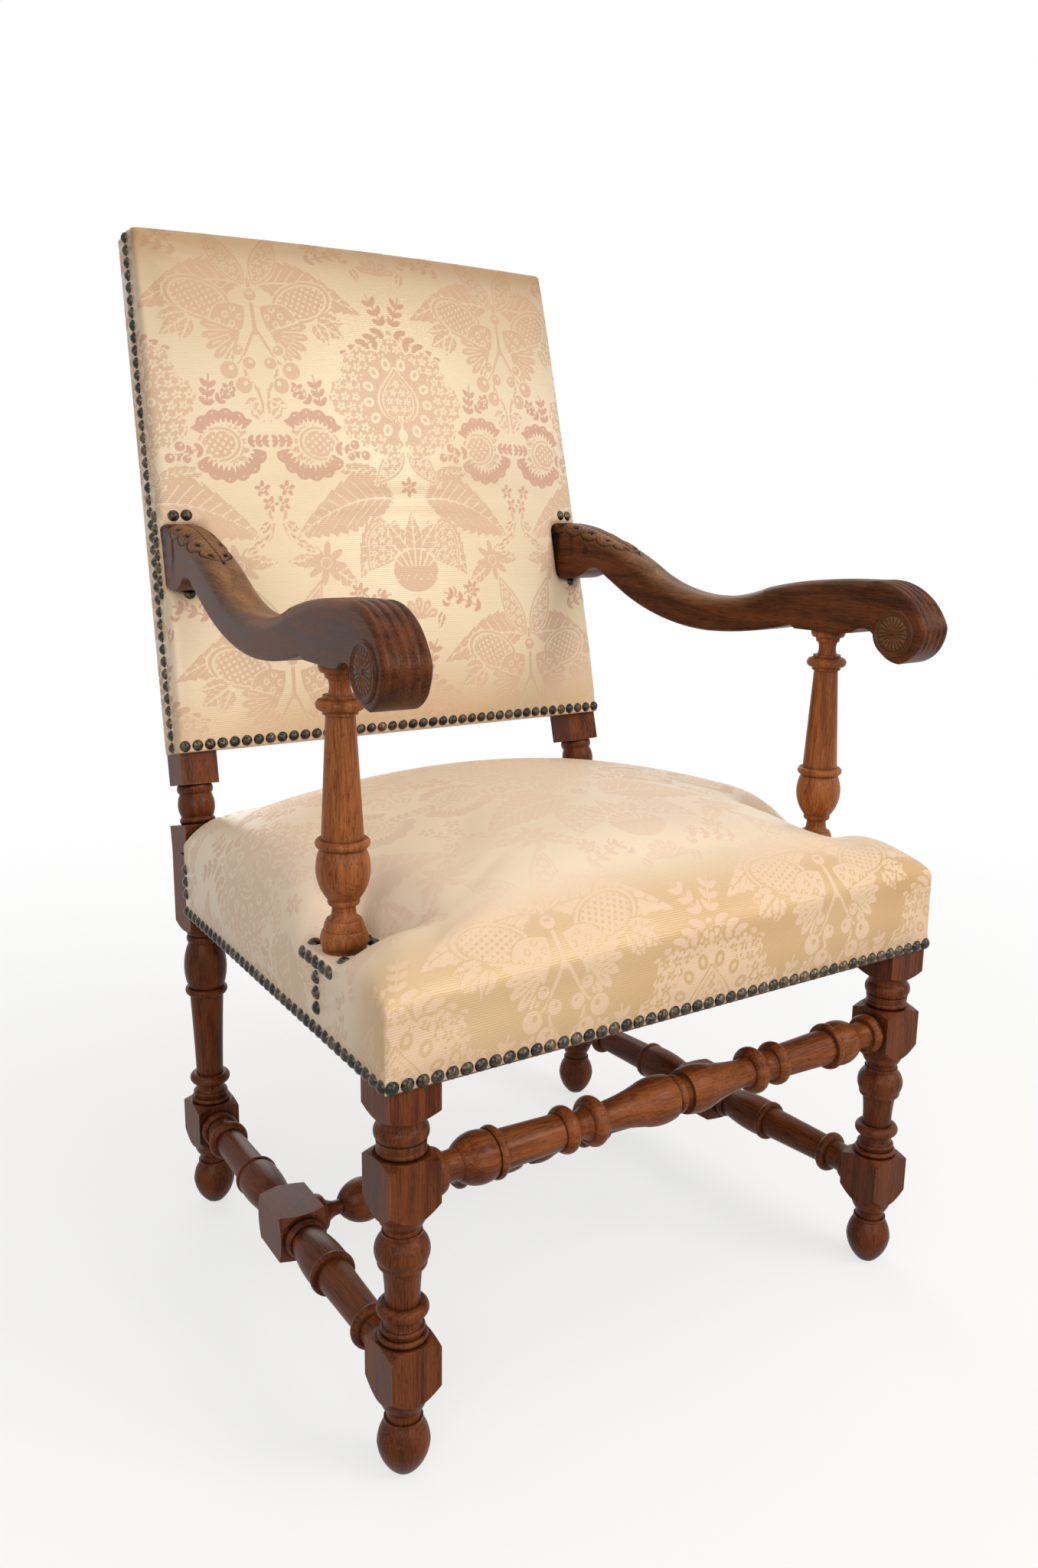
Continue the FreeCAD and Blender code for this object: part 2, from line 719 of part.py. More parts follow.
def rear_leg_piece(side_name, side):
    """A rear leg and back post in one length of wood, turned below the seat and raked above it."""
    stem = f"rear_leg_{side_name}"
    body = doc.addObject("PartDesign::Body", stem + "_stock")
    turn(body, stem, rear_leg)
    low_height, low_long = named("rear_lower_block_height"), named("leg_lower_block_long")
    square(body, stem + "_lower", "leg_stock", low_height, low_long)
    square(
        body,
        stem + "_seat",
        "leg_stock",
        named("rear_seat_block_height"),
        "Sizes.rail_top - Sizes.rear_seat_block_height",
    )
    low = "rear_lower_block_height"
    shoulder(body, f"{stem}_lower_under", "leg_stock", low, "block_bottom_drop", False)
    shoulder(body, f"{stem}_lower_over", "leg_stock", f"{low} + leg_lower_block_long", "block_top_drop", True)
    shoulder(body, f"{stem}_seat_under", "leg_stock", "rear_seat_block_height", "block_top_drop", False)
    x = f"{side} * Sizes.rear_leg_spacing / 2"
    set_place(body, x, named("rear_y"), "0")
    upper = doc.addObject("PartDesign::Body", stem + "_post")
    turn(upper, stem + "_post", post_turning)
    square(upper, stem + "_elbow", "leg_stock", "0", named("post_elbow_long"))
    upper.Placement = post_place(side)
    half = number("half_post")
    stock = box(
        stem + "_raked",
        (named("post_stock"), named("post_stock"), "Sizes.post_length - Sizes.post_stock_height"),
        (-half, -half, number("post_stock_height")),
        post_place(side),
    )
    post_stocks[side] = stock
    inner_face = f"{x} - {side} * Sizes.half_leg"
    tools = [
        rail_mortise(stem + "_rear_slot", True, f"Sizes.rear_y + {RAIL_OFFSET}", inner_face, side),
        rail_mortise(
            stem + "_side_slot", False, f"{x} + {side} * {RAIL_OFFSET}", "Sizes.rear_y - Sizes.half_leg", 1
        ),
        side_bore(stem + "_side_bore", side, "rear"),
        back_rail_box(stem + "_bottom_slot", "bottom", True, "clearance"),
        back_rail_box(stem + "_top_slot", "top", True, "clearance"),
        arm_tenon(stem + "_arm_slot", side, number("tenon_clearance")),
    ]
    whole = fused(stem + "_whole", [body, upper, stock])
    return piece(stem, cut(stem, whole, tools))


for side_name, side in SIDES.items():
    front_leg_piece(side_name, side)
    rear_leg_piece(side_name, side)


def stretcher(stem, half, rotation, place):
    """A stretcher turned alike from both ends, lying along its own axis."""
    body = doc.addObject("PartDesign::Body", stem + "_stock")
    turn(body, stem, half + mirrored(half))
    set_place(body, *place, rotation)
    return body


front_stretcher_body = stretcher(
    "front_stretcher",
    front_stretcher,
    TO_X,
    (
        "-Sizes.front_span - Sizes.front_stretcher_tenon_long",
        named("front_y"),
        named("front_stretcher_height"),
    ),
)
piece("front_stretcher", front_stretcher_body)

cell("side_block_length", "=2 * side_stretcher_block_core_long")
cell("side_block_start", "=side_stretcher_tenon_long + side_span - side_stretcher_block_core_long")
sheet.recompute()
for side_name, side in SIDES.items():
    stem = f"side_stretcher_{side_name}"
    slant = Rotation(Z_AXIS, side * number("side_slant"))
    back_off = "(Sizes.side_span + Sizes.side_stretcher_tenon_long)"
    bar = stretcher(
        stem,
        side_stretcher,
        slant.multiply(TO_Y),
        (
            f"{side} * (Sizes.side_axis_x + {back_off} * sin(Sizes.side_slant * 1deg))",
            f"Sizes.middle_y - {back_off} * cos(Sizes.side_slant * 1deg)",
            named("side_stretcher_height"),
        ),
    )
    square(bar, stem + "_middle", "leg_stock", named("side_block_start"), named("side_block_length"))
    shoulder(bar, stem + "_front", "leg_stock", "side_block_start", "block_top_drop", False)
    shoulder(bar, stem + "_rear", "leg_stock", "side_block_start + side_block_length", "block_top_drop", True)
    bore = rod(
        stem + "_bore",
        ROUND_TENON.format("cross_stretcher"),
        ROUND_DEPTH.format("cross_stretcher") + " + Sizes.cross_gap + Sizes.bore_over_depth",
        (
            f"{side} * (Sizes.cross_span - Sizes.bore_over_depth)",
            named("middle_y"),
            named("side_stretcher_height"),
        ),
        TO_X if side > 0 else TO_MINUS_X,
    )
    piece(stem, cut(stem, bar, [bore]))

cross_body = stretcher(
    "cross_stretcher",
    cross_stretcher,
    TO_X,
    (
        "-Sizes.cross_span - Sizes.cross_stretcher_tenon_long",
        named("middle_y"),
        named("side_stretcher_height"),
    ),
)
piece("cross_stretcher", cross_body)


# Seat rails: their outer faces lie flush with the legs' and their ends are tenoned into the legs.
def straight_rail(label, spacing, low_y, tenon_y):
    inner = f"(Sizes.{spacing} / 2 - Sizes.half_leg)"
    rail = box(
        label + "_plank",
        (f"2 * {inner}", named("rail_thickness"), named("rail_height")),
        (f"-{inner}", low_y, named("rail_bottom")),
    )
    reach = f"({inner} + Sizes.rail_tenon_length)"
    core = box(
        label + "_core",
        (f"2 * {reach}", named("rail_tenon_thickness"), RAIL_TENON_HEIGHT),
        (f"-{reach}", f"{tenon_y} - Sizes.rail_tenon_thickness / 2", RAIL_TENON_BASE),
    )
    return piece(label, fused(label, [rail, core]))


straight_rail(
    "seat_rail_front",
    "front_leg_spacing",
    "Sizes.front_y - Sizes.half_leg",
    f"Sizes.front_y - {RAIL_OFFSET}",
)
straight_rail(
    "seat_rail_rear",
    "rear_leg_spacing",
    "Sizes.rear_y + Sizes.half_leg - Sizes.rail_thickness",
    f"Sizes.rear_y + {RAIL_OFFSET}",
)


def polygon_pad(body, name, corners, base, length):
    """Pads a plan outline: corners are pairs of sheet names, both measured from the plan's own low corner."""
    sketch = new_sketch(body, name + "_plan", "XY_Plane", base)
    outline = Outline(sketch)
    points = [(number(x), number(y)) for x, y in corners]
    edges = [outline.line(a, b) for a, b in zip(points, points[1:] + points[:1])]
    outline.join(edges)
    for edge, (x, y), point in zip(edges, corners, points):
        outline.tied("DistanceX", (ORIGIN, 1), (edge[0], 1), point[0], named(x))
        outline.tied("DistanceY", (ORIGIN, 1), (edge[0], 1), point[1], named(y))
    outline.close()
    pad = body.newObject("PartDesign::Pad", name + "_pad")
    pad.Profile = sketch
    pad.setExpression("Length", length)
    return pad


# A side rail's plan, measured from the chair's middle line and from a datum ahead of the front legs.
cell("plan_datum", "=-front_y + leg_stock * 2")
cell("side_rail_front_out", "=front_leg_spacing / 2 + half_leg - leg_stock * tan(side_slant * 1deg) / 2")
cell("side_rail_rear_out", "=rear_leg_spacing / 2 + half_leg + leg_stock * tan(side_slant * 1deg) / 2")
cell("side_rail_front_in", "=side_rail_front_out - rail_thickness")
cell("side_rail_rear_in", "=side_rail_rear_out - rail_thickness")
cell("side_rail_start", "=front_y + half_leg + plan_datum")
cell("side_rail_end", "=rear_y - half_leg + plan_datum")
sheet.recompute()

for side_name, side in SIDES.items():
    label = f"seat_rail_{side_name}"
    body = doc.addObject("PartDesign::Body", label + "_plank")
    polygon_pad(
        body,
        label,
        [
            ("side_rail_front_in", "side_rail_start"),
            ("side_rail_front_out", "side_rail_start"),
            ("side_rail_rear_out", "side_rail_end"),
            ("side_rail_rear_in", "side_rail_end"),
        ],
        named("rail_bottom"),
        named("rail_height"),
    )
    set_place(body, "0", "-Sizes.plan_datum", "0")
    plank = body
    if side < 0:
        plank = doc.addObject("Part::Mirroring", label + "_mirrored")
        plank.Source = body
        plank.Normal = X_AXIS
    tenons = []
    for end, spacing, face, inward in (
        ("front", "front_leg_spacing", "Sizes.front_y + Sizes.half_leg", -1),
        ("rear", "rear_leg_spacing", "Sizes.rear_y - Sizes.half_leg", 1),
    ):
        overlap = "Sizes.rail_tenon_length"
        start = f"{face} - {overlap}"
        centre = f"{side} * (Sizes.{spacing} / 2 + {RAIL_OFFSET})"
        tenons.append(
            box(
                f"{label}_{end}_tenon",
                (named("rail_tenon_thickness"), f"2 * {overlap}", RAIL_TENON_HEIGHT),
                (f"{centre} - Sizes.rail_tenon_thickness / 2", start, RAIL_TENON_BASE),
            )
        )
    bore = rod(
        label + "_bore",
        f"Sizes.support_foot_tenon_start + 2 * {FIT}",
        "Sizes.support_foot_tenon_long + 2 * Sizes.bore_over_depth",
        (
            f"{side} * Sizes.support_x",
            named("support_y"),
            "Sizes.rail_top - Sizes.support_foot_tenon_long - Sizes.bore_over_depth",
        ),
        Rotation(),
    )
    whole = fused(label + "_whole", [plank] + tenons)
    piece(label, cut(label, whole, [bore]))

for rail in ("bottom", "top"):
    label = f"back_rail_{rail}"
    shoulders = cut(
        label + "_shouldered",
        back_rail_box(label + "_plank", rail, False),
        [post_stocks[-1], post_stocks[1]],
    )
    core = back_rail_box(label + "_core", rail, True)
    piece(label, fused(label, [shoulders, core]))

# Arm supports: turned columns with a tenon at each end.
for side_name, side in SIDES.items():
    label = f"arm_support_{side_name}"
    body = doc.addObject("PartDesign::Body", label)
    turn(body, label, arm_support)
    set_place(
        body,
        f"{side} * Sizes.support_x",
        named("support_y"),
        "Sizes.rail_top - Sizes.support_foot_tenon_long",
    )
    piece(label, body)

# Arms: an S-shaped outline ending in a down-turned scroll. Stations of the front part are taken along the arm
# from the support's axis, those of the rear part from the post's face; heights from the arm's underside.
# Each row: station, "front" or "rear", distance along, height, and the same for an arc's middle.
ARM_OUTLINE = [
    ("pad_front", "front", -30, 0, None, None),
    ("pad_rear", "front", 30, 0, None, None),
    ("belly_start", "front", 37, 3, None, None),
    ("belly", "front", 160, -14, 95, -8.5),
    ("rise", "rear", 148, 18, 216, -5.5),
    ("rise_end", "rear", 107, 40, None, None),
    ("lip_cove", "rear", 74, 40, 90, 46.5),
    ("lip_end", "rear", 20, 33, 52, 32),
    ("end_low", "rear", -30, 33, None, None),
    ("end_high", "rear", -30, 99, None, None),
    ("crest", "rear", 30, 99, None, None),
    ("shoulder", "rear", 97, 86, 64, 94.8),
    ("slope", "rear", 190, 48.5, 143, 70.5),
    ("dip", "front", 78, 40.5, 174, 26),
    ("scroll_top", "front", -60, 56, 8, 52.5),
    ("scroll_front", "front", -132, 13, -112.5, 41),
    ("scroll_under", "front", -104, -24, -123.5, -11.5),
    ("scroll_back", "front", -73, 1, -83, -15.5),
    ("hollow", "front", -45, 2, -60, 7.5),
]
ARM_MARGIN = 150
cell("arm_margin", ARM_MARGIN)
cell("arm_drop", 60)
for name, part, along, height, middle_along, middle_height in ARM_OUTLINE:
    origin = "arm_margin" if part == "front" else "arm_margin + arm_length"
    sign = "+" if part == "front" else "-"
    cell(f"arm_{name}_along", f"={origin} {sign} ({along})")
    cell(f"arm_{name}_height", f"=arm_drop + ({height})")
    if middle_along is not None:
        cell(f"arm_{name}_middle_along", f"={origin} {sign} ({middle_along})")
        cell(f"arm_{name}_middle_height", f"=arm_drop + ({middle_height})")
cell("rosette_along", -95)
cell("rosette_height", 7)
cell("rosette_diameter", 44)
cell("rosette_rise", 2.5)
cell("peg_diameter", 10)
cell("peg_length", 22)
cell("peg_from_post", 76)
cell("peg_height", 68)
cell("peg_rise", 0.4)
sheet.recompute()

back_slab = box(
    "behind_posts",
    (REACH, REACH, "1.5 * Sizes.post_length"),
    (-float(REACH) / 2, -number("half_post"), -number("bend_height") / 2),
    back_place,
)


def arm_peg(name, side, diameter, rise):
    """A round peg in the arm's inner face, and the bore that holds it."""
    inner = -side * (number("arm_width") / 2 + number(rise) if rise else number("arm_width") / 2 + 1)
    solid = doc.addObject("Part::Cylinder", name)
    bind(solid, Radius=f"({diameter}) / 2", Height="Sizes.peg_length + " + (named(rise) if rise else "2"))
    along = number("arm_length") - number("peg_from_post")
    up = number("arm_under") + number("peg_height")
    turn_in = TO_X if side > 0 else TO_MINUS_X
    solid.Placement = arm_place(side).multiply(Placement(Vector(inner, along, up), turn_in))
    return solid


def arm_body(stem):
    """The arm's sawn outline, as thick as the arm is wide, with a round boss on each cheek of the scroll."""
    body = doc.addObject("PartDesign::Body", stem)
    sketch = new_sketch(body, stem + "_side", "YZ_Plane")
    outline = Outline(sketch)
    edges = []
    for before, row in zip([ARM_OUTLINE[-1]] + ARM_OUTLINE[:-1], ARM_OUTLINE):
        a, b = f"arm_{before[0]}", f"arm_{row[0]}"
        start = (number(a + "_along"), number(a + "_height"))
        end = (number(b + "_along"), number(b + "_height"))
        if row[4] is None:
            edge = outline.line(start, end)
        else:
            middle = (number(b + "_middle_along"), number(b + "_middle_height"))
            edge = outline.arc(start, middle, end)
            guide = outline.guide(middle, edge[0])
            outline.tied("DistanceX", (ORIGIN, 1), (guide, 1), middle[0], named(b + "_middle_along"))
            outline.tied("DistanceY", (ORIGIN, 1), (guide, 1), middle[1], named(b + "_middle_height"))
        outline.tied("DistanceX", (ORIGIN, 1), (edge[0], edge[2]), end[0], named(b + "_along"))
        outline.tied("DistanceY", (ORIGIN, 1), (edge[0], edge[2]), end[1], named(b + "_height"))
        edges.append(edge)
    outline.join(edges)
    outline.close()
    pad = body.newObject("PartDesign::Pad", stem + "_thickness")
    pad.Profile = sketch
    pad.setExpression("Length", named("arm_width"))
    pad.Midplane = True
    boss = new_sketch(body, stem + "_rosette", "YZ_Plane")
    along = number("arm_margin") + number("rosette_along")
    up = number("arm_drop") + number("rosette_height")
    radius = number("rosette_diameter") / 2
    ring = boss.addGeometry(Part.Circle(Vector(along, up, 0), Vector(0, 0, 1), radius))
    boss.addConstraint(
        [
            Sketcher.Constraint("DistanceX", ORIGIN, 1, ring, 3, along),
            Sketcher.Constraint("DistanceY", ORIGIN, 1, ring, 3, up),
            Sketcher.Constraint("Diameter", ring, number("rosette_diameter")),
        ]
    )
    boss.setExpression("Constraints[0]", "Sizes.arm_margin + Sizes.rosette_along")
    boss.setExpression("Constraints[1]", "Sizes.arm_drop + Sizes.rosette_height")
    boss.setExpression("Constraints[2]", named("rosette_diameter"))
    raised = body.newObject("PartDesign::Pad", stem + "_rosettes")
    raised.Profile = boss
    raised.setExpression("Length", "Sizes.arm_width + 2 * Sizes.rosette_rise")
    raised.Midplane = True
    return body


pegs = []
for side_name, side in SIDES.items():
    label = f"arm_{side_name}"
    body = arm_body(label + "_sawn")
    local = Placement(Vector(0, -number("arm_margin"), number("arm_under") - number("arm_drop")), Rotation())
    body.Placement = arm_place(side).multiply(local)
    trimmed = cut(label + "_trimmed", body, [back_slab])
    joined = fused(label + "_tenoned", [trimmed, arm_tenon(label + "_tenon", side, 0.0)])
    head_bore = rod(
        label + "_bore",
        f"Sizes.support_head_tenon_start + 2 * {FIT}",
        "Sizes.support_head_tenon_long + 2 * Sizes.bore_over_depth",
        (f"{side} * Sizes.support_x", named("support_y"), "Sizes.arm_under - Sizes.bore_over_depth"),
        Rotation(),
    )
    peg_bore = arm_peg(label + "_peg_bore", side, f"Sizes.peg_diameter + 2 * {FIT}", None)
    piece(label, cut(label, joined, [head_bore, peg_bore]))
    pegs.append(arm_peg(label + "_peg", side, named("peg_diameter"), "peg_rise"))
group = doc.addObject("Part::Compound", "arm_pegs")
group.Links = pegs
piece("arm_pegs", group)

# Webbing: jute bands tacked across the seat rails and across the back frame, one set over the other.
cell("web_width", 50)
cell("web_thickness", 2)
cell("hessian", 1)
cell("web_bearing", 22)
cell("long_webs", 5)
cell("long_web_pitch", 92)
cell("cross_webs", 4)
cell("cross_web_pitch", 82)
cell("cross_web_first", 176)
cell("back_webs", 4)
cell("back_web_pitch", 105)
cell("back_cross_webs", 4)
cell("back_cross_web_pitch", 92)
cell("back_cross_web_first", 118)
sheet.recompute()


def side_rail_inner(y):
    """Half the width between the side rails at a place front to back."""
    share = (y - number("front_y") - number("half_leg")) / (number("leg_depth") - number("leg_stock"))
    front = number("side_rail_front_in")
    return front + share * (number("side_rail_rear_in") - front)


long_webs = int(number("long_webs"))
webs = []
web_start = number("front_y") - number("half_leg") + number("rail_thickness") - number("web_bearing")
web_end = number("rear_y") + number("half_leg") - number("rail_thickness") + number("web_bearing")
for i in range(long_webs):
    x = (i - (long_webs - 1) / 2) * number("long_web_pitch") - number("web_width") / 2
    webs.append(
        box(
            f"long_web_{i}",
            (named("web_width"), f"{web_end - web_start}", named("web_thickness")),
            (f"{x}", f"{web_start}", named("rail_top")),
        )
    )
for i in range(int(number("cross_webs"))):
    y = number("front_y") + number("cross_web_first") + i * number("cross_web_pitch")
    half = side_rail_inner(y + number("web_width")) + number("web_bearing")
    webs.append(
        box(
            f"cross_web_{i}",
            (f"{2 * half}", named("web_width"), named("web_thickness")),
            (f"{-half}", f"{y}", "Sizes.rail_top + Sizes.web_thickness"),
        )
    )
group = doc.addObject("Part::Compound", "seat_webbing")
group.Links = webs
piece("seat_webbing", group)

back_webs = []
low = number("bottom_rail_start") + number("bottom_rail_height") - number("web_bearing")
high = number("top_rail_start") + number("web_bearing")
front = -number("half_post")
count = int(number("back_webs"))
setback = number("back_rail_setback")
for i in range(count):
    x = (i - (count - 1) / 2) * number("back_web_pitch") - number("web_width") / 2
    back_webs.append(
        box(
            f"back_web_{i}",
            (named("web_width"), named("web_thickness"), f"{high - low}"),
            (x, front + setback - number("web_thickness"), low),
            back_place,
        )
    )
for i in range(int(number("back_cross_webs"))):
    start = low + number("web_bearing") + i * number("back_cross_web_pitch") + number("web_width") / 2
    level = start + number("web_width")
    half = (
        number("rear_leg_spacing") / 2
        - number("half_post")
        - level * math.tan(math.radians(number("lean")))
        + number("web_bearing")
    )
    back_webs.append(
        box(
            f"back_cross_web_{i}",
            (f"{2 * half}", named("web_thickness"), named("web_width")),
            (-half, front - number("web_thickness"), start),
            back_place,
        )
    )
back_web_group = doc.addObject("Part::Compound", "back_web_bands")
back_web_group.Links = back_webs

# The seat's stuffed form: upright sections from front to back. Each row: distance back from the front edge or
# ahead of the rear edge, then heights above the rails' top of the sides, of the shoulders and of the crown.
SEAT_SECTIONS = [
    ("front", 0, 6, 8.5, 12),
    ("front", 10, 12, 19, 25),
    ("front", 45, 15, 42, 56),
    ("front", 150, 17, 62, 86),
    ("front", 280, 18, 68, 96),
    ("rear", 130, 18, 58, 84),
    ("rear", 45, 14, 40, 58),
    ("rear", 0, 6, 16, 26),
]


def seat_form(stem, inset, base):
    """The seat's form drawn in by a named inset, from a height up to its crown."""
    body = doc.addObject("PartDesign::Body", stem)
    sketches = []
    for i, (end, away, side_height, shoulder_height, crown) in enumerate(SEAT_SECTIONS):
        name = f"{stem}_{i}"
        if end == "front":
            cell(f"{name}_y", f"=front_y - half_leg - skin + {inset} + {away}")
        else:
            cell(f"{name}_y", f"=rear_y + half_leg + skin - {inset} - {away}")
        spread = f"(front_leg_spacing - rear_leg_spacing) * ({name}_y - front_y) / leg_depth"
        cell(f"{name}_width", f"=front_leg_spacing - {spread} + 2 * (half_leg + side_swell + skin - {inset})")
        cell(f"{name}_top", f"=rail_top + {side_height} - {inset}")
        cell(f"{name}_shoulder", f"=rail_top + {shoulder_height} - {inset}")
        cell(f"{name}_crown", f"=rail_top + {crown} - {inset}")
    sheet.recompute()
    for i in range(len(SEAT_SECTIONS)):
        name = f"{stem}_{i}"
        sketch = new_sketch(body, f"{name}_section", "XZ_Plane", "-" + named(f"{name}_y"))
        shouldered_section(sketch, name, base)
        sketches.append(sketch)
    loft = body.newObject("PartDesign::AdditiveLoft", stem + "_loft")
    loft.Profile = sketches[0]
    loft.Sections = sketches[1:]
    loft.Ruled = False
    return body


def shouldered_section(sketch, name, base):
    """A section with a flat base, upright sides, rounded shoulders and a crowned top."""
    outline = Outline(sketch)
    half = number(f"{name}_width") / 2
    bottom = number(base)
    top, high, peak = number(f"{name}_top"), number(f"{name}_shoulder"), number(f"{name}_crown")
    inner = half - number("seat_shoulder")
    bulge_x = half - number("seat_shoulder") * number("shoulder_across")
    bulge_z = top + (high - top) * number("shoulder_up")
    edges = [
        outline.line((-half, bottom), (half, bottom)),
        outline.line((half, bottom), (half, top)),
        outline.arc((half, top), (bulge_x, bulge_z), (inner, high)),
        outline.arc((inner, high), (0, peak), (-inner, high)),
        outline.arc((-inner, high), (-bulge_x, bulge_z), (-half, top)),
        outline.line((-half, top), (-half, bottom)),
    ]
    outline.join(edges)
    crown = outline.guide((0, peak), edges[3][0])
    right = outline.guide((bulge_x, bulge_z), edges[2][0])
    left = outline.guide((-bulge_x, bulge_z), edges[4][0])
    outline.rule("PointOnObject", crown, 1, VERTICAL_AXIS)
    outline.rule("Vertical", edges[1][0])
    outline.rule("Vertical", edges[5][0])
    outline.rule("Symmetric", edges[0][0], 1, edges[0][0], 2, VERTICAL_AXIS)
    outline.rule("Horizontal", edges[1][0], 2, edges[5][0], 1)
    outline.rule("Symmetric", edges[3][0], 1, edges[3][0], 2, VERTICAL_AXIS)
    outline.rule("Symmetric", right, 1, left, 1, VERTICAL_AXIS)
    width = named(f"{name}_width")
    up = f"Sizes.{name}_top + (Sizes.{name}_shoulder - Sizes.{name}_top) * Sizes.shoulder_up"
    outline.tied("DistanceX", (edges[0][0], 1), (edges[0][0], 2), 2 * half, width)
    outline.tied("DistanceY", (ORIGIN, 1), (edges[0][0], 1), bottom, named(base))
    outline.tied("DistanceY", (ORIGIN, 1), (edges[1][0], 2), top, named(f"{name}_top"))
    outline.tied("DistanceY", (ORIGIN, 1), (crown, 1), peak, named(f"{name}_crown"))
    shoulder_end = (edges[3][0], edges[3][1])
    outline.tied("DistanceX", (ORIGIN, 1), shoulder_end, inner, f"{width} / 2 - Sizes.seat_shoulder")
    outline.tied("DistanceY", (ORIGIN, 1), shoulder_end, high, named(f"{name}_shoulder"))
    across = f"{width} / 2 - Sizes.seat_shoulder * Sizes.shoulder_across"
    outline.tied("DistanceX", (ORIGIN, 1), (right, 1), bulge_x, across)
    outline.tied("DistanceY", (ORIGIN, 1), (right, 1), bulge_z, up)
    outline.close()


def crowned_section(sketch, stem, half, bottom, top, peak, base):
    """A section with a flat base, upright sides and an arched top, even about the middle line."""
    outline = Outline(sketch)
    edges = [
        outline.line((-half, bottom), (half, bottom)),
        outline.line((half, bottom), (half, top)),
        outline.arc((half, top), (0, peak), (-half, top)),
        outline.line((-half, top), (-half, bottom)),
    ]
    outline.join(edges)
    guide = outline.guide((0, peak), edges[2][0])
    outline.rule("PointOnObject", guide, 1, VERTICAL_AXIS)
    outline.rule("Vertical", edges[1][0])
    outline.rule("Vertical", edges[3][0])
    outline.rule("Symmetric", edges[0][0], 1, edges[0][0], 2, VERTICAL_AXIS)
    outline.rule("Horizontal", edges[1][0], 2, edges[3][0], 1)
    outline.tied("DistanceX", (edges[0][0], 1), (edges[0][0], 2), 2 * half, named(f"{stem}_width"))
    outline.tied("DistanceY", (ORIGIN, 1), (edges[0][0], 1), bottom, named(base))
    outline.tied("DistanceY", (ORIGIN, 1), (edges[1][0], 2), top, named(f"{stem}_top"))
    outline.tied("DistanceY", (ORIGIN, 1), (guide, 1), peak, named(f"{stem}_crown"))
    outline.close()


cell("no_inset", 0)
cell("seat_shoulder", 70)
cell("shoulder_across", 0.26)
cell("shoulder_up", 0.64)
cell("support_pit_floor", 9)
cell("stuffing_inset", "=cloth + soft_clearance")
cell("back_stuffing_inset", "=cloth + soft_clearance + 1.7")
cell("below_rails", "=rail_bottom - 10")
cell("stuffing_base", "=rail_top + 2 * web_thickness + hessian")
cell("base_plate_depth", 44)
cell("base_plate_width", 43)
cell("base_nail_away", 6.5)
sheet.recompute()


def post_notches(stem, extra):
    """The spaces left for the back posts."""
    notches = []
    slack = number("soft_clearance") + extra
    lean_in = number("leg_stock") * math.tan(math.radians(number("lean")))
    inner = number("rear_leg_spacing") / 2 - number("half_leg") - slack - lean_in
    for side_name, side in SIDES.items():
        low_x = inner if side > 0 else -inner - float(REACH)
        notches.append(
            box(
                f"{stem}_{side_name}_post_notch",
                (REACH, REACH, REACH),
                (f"{low_x}", f"{number('rear_y') - number('half_leg') - slack}", "0"),
            )
        )
    return notches


def support_pits(stem, grow, floor):
    """The sunk places round the arm supports' feet, where the cloth is nailed down."""
    pits = []
    margin = number("base_nail_away") + number("nail_head") / 2 + number("soft_clearance") + grow
    depth = number("base_plate_depth") + 2 * margin
    low_x = number("support_x") - number("base_plate_width") / 2 - margin
    for side_name, side in SIDES.items():
        start = low_x if side > 0 else -low_x - float(REACH)
        pits.append(
            box(
                f"{stem}_{side_name}_support_pit",
                (REACH, f"{depth}", REACH),
                (f"{start}", f"{number('support_y') - depth / 2}", f"Sizes.rail_top + {floor}"),
            )
        )
    return pits


def foot_holes(stem):
    """Round openings in the cloth through which the arm supports stand on the rails."""
    return [
        rod(
            f"{stem}_{side_name}_foot_hole",
            "Sizes.support_base_seat_start + 2 * Sizes.soft_clearance",
            "Sizes.rail_height",
            (f"{side} * Sizes.support_x", "Sizes.support_y", "Sizes.rail_top"),
            Rotation(),
        )
        for side_name, side in SIDES.items()
    ]


pit_floor = number("support_pit_floor")
seat_outer = seat_form("seat_outer", "no_inset", "rail_bottom")
seat_sunk = cut("seat_sunk", seat_outer, support_pits("seat_sunk", 0.0, pit_floor))
seat_inner = seat_form("seat_inner", "cloth", "below_rails")
inner_pits = support_pits("seat_inner", number("cloth"), pit_floor - number("cloth"))
seat_shell = cut("seat_shell", seat_sunk, [cut("seat_inner_sunk", seat_inner, inner_pits)])
openings = post_notches("seat_cover", 0.0) + foot_holes("seat_cover")
piece("seat_cover", cut("seat_cover", seat_shell, openings))

seat_core = seat_form("seat_core", "stuffing_inset", "below_rails")
under_seat = box(
    "under_stuffing",
    (f"2 * {REACH}", f"2 * {REACH}", named("stuffing_base")),
    (f"-{REACH}", f"-{REACH}", "0"),
)
stuffing = cut("seat_stuffing_whole", seat_core, [under_seat])
openings = post_notches("seat_stuffing", number("skin")) + support_pits("seat_stuffing", number("skin"), 0.0)
piece("seat_stuffing", cut("seat_stuffing", stuffing, openings))

# Hessian over the seat webbing, cut clear of the arm supports and the back posts.
hessian_front = "Sizes.front_y - Sizes.half_leg + Sizes.rail_thickness / 2"
hessian_slab = box(
    "seat_hessian_slab",
    (f"2 * {REACH}", "Sizes.leg_depth - 2 * Sizes.soft_clearance", named("hessian")),
    (f"-{REACH}", hessian_front, "Sizes.rail_top + 2 * Sizes.web_thickness"),
)
seat_core_copy = seat_form("seat_hessian_form", "stuffing_inset", "below_rails")
hessian = doc.addObject("Part::Common", "seat_hessian_cut")
hessian.Base = hessian_slab
hessian.Tool = seat_core_copy
openings = post_notches("seat_hessian", number("skin")) + support_pits("seat_hessian", number("skin"), 0.0)
piece("seat_hessian", cut("seat_hessian", hessian, openings))

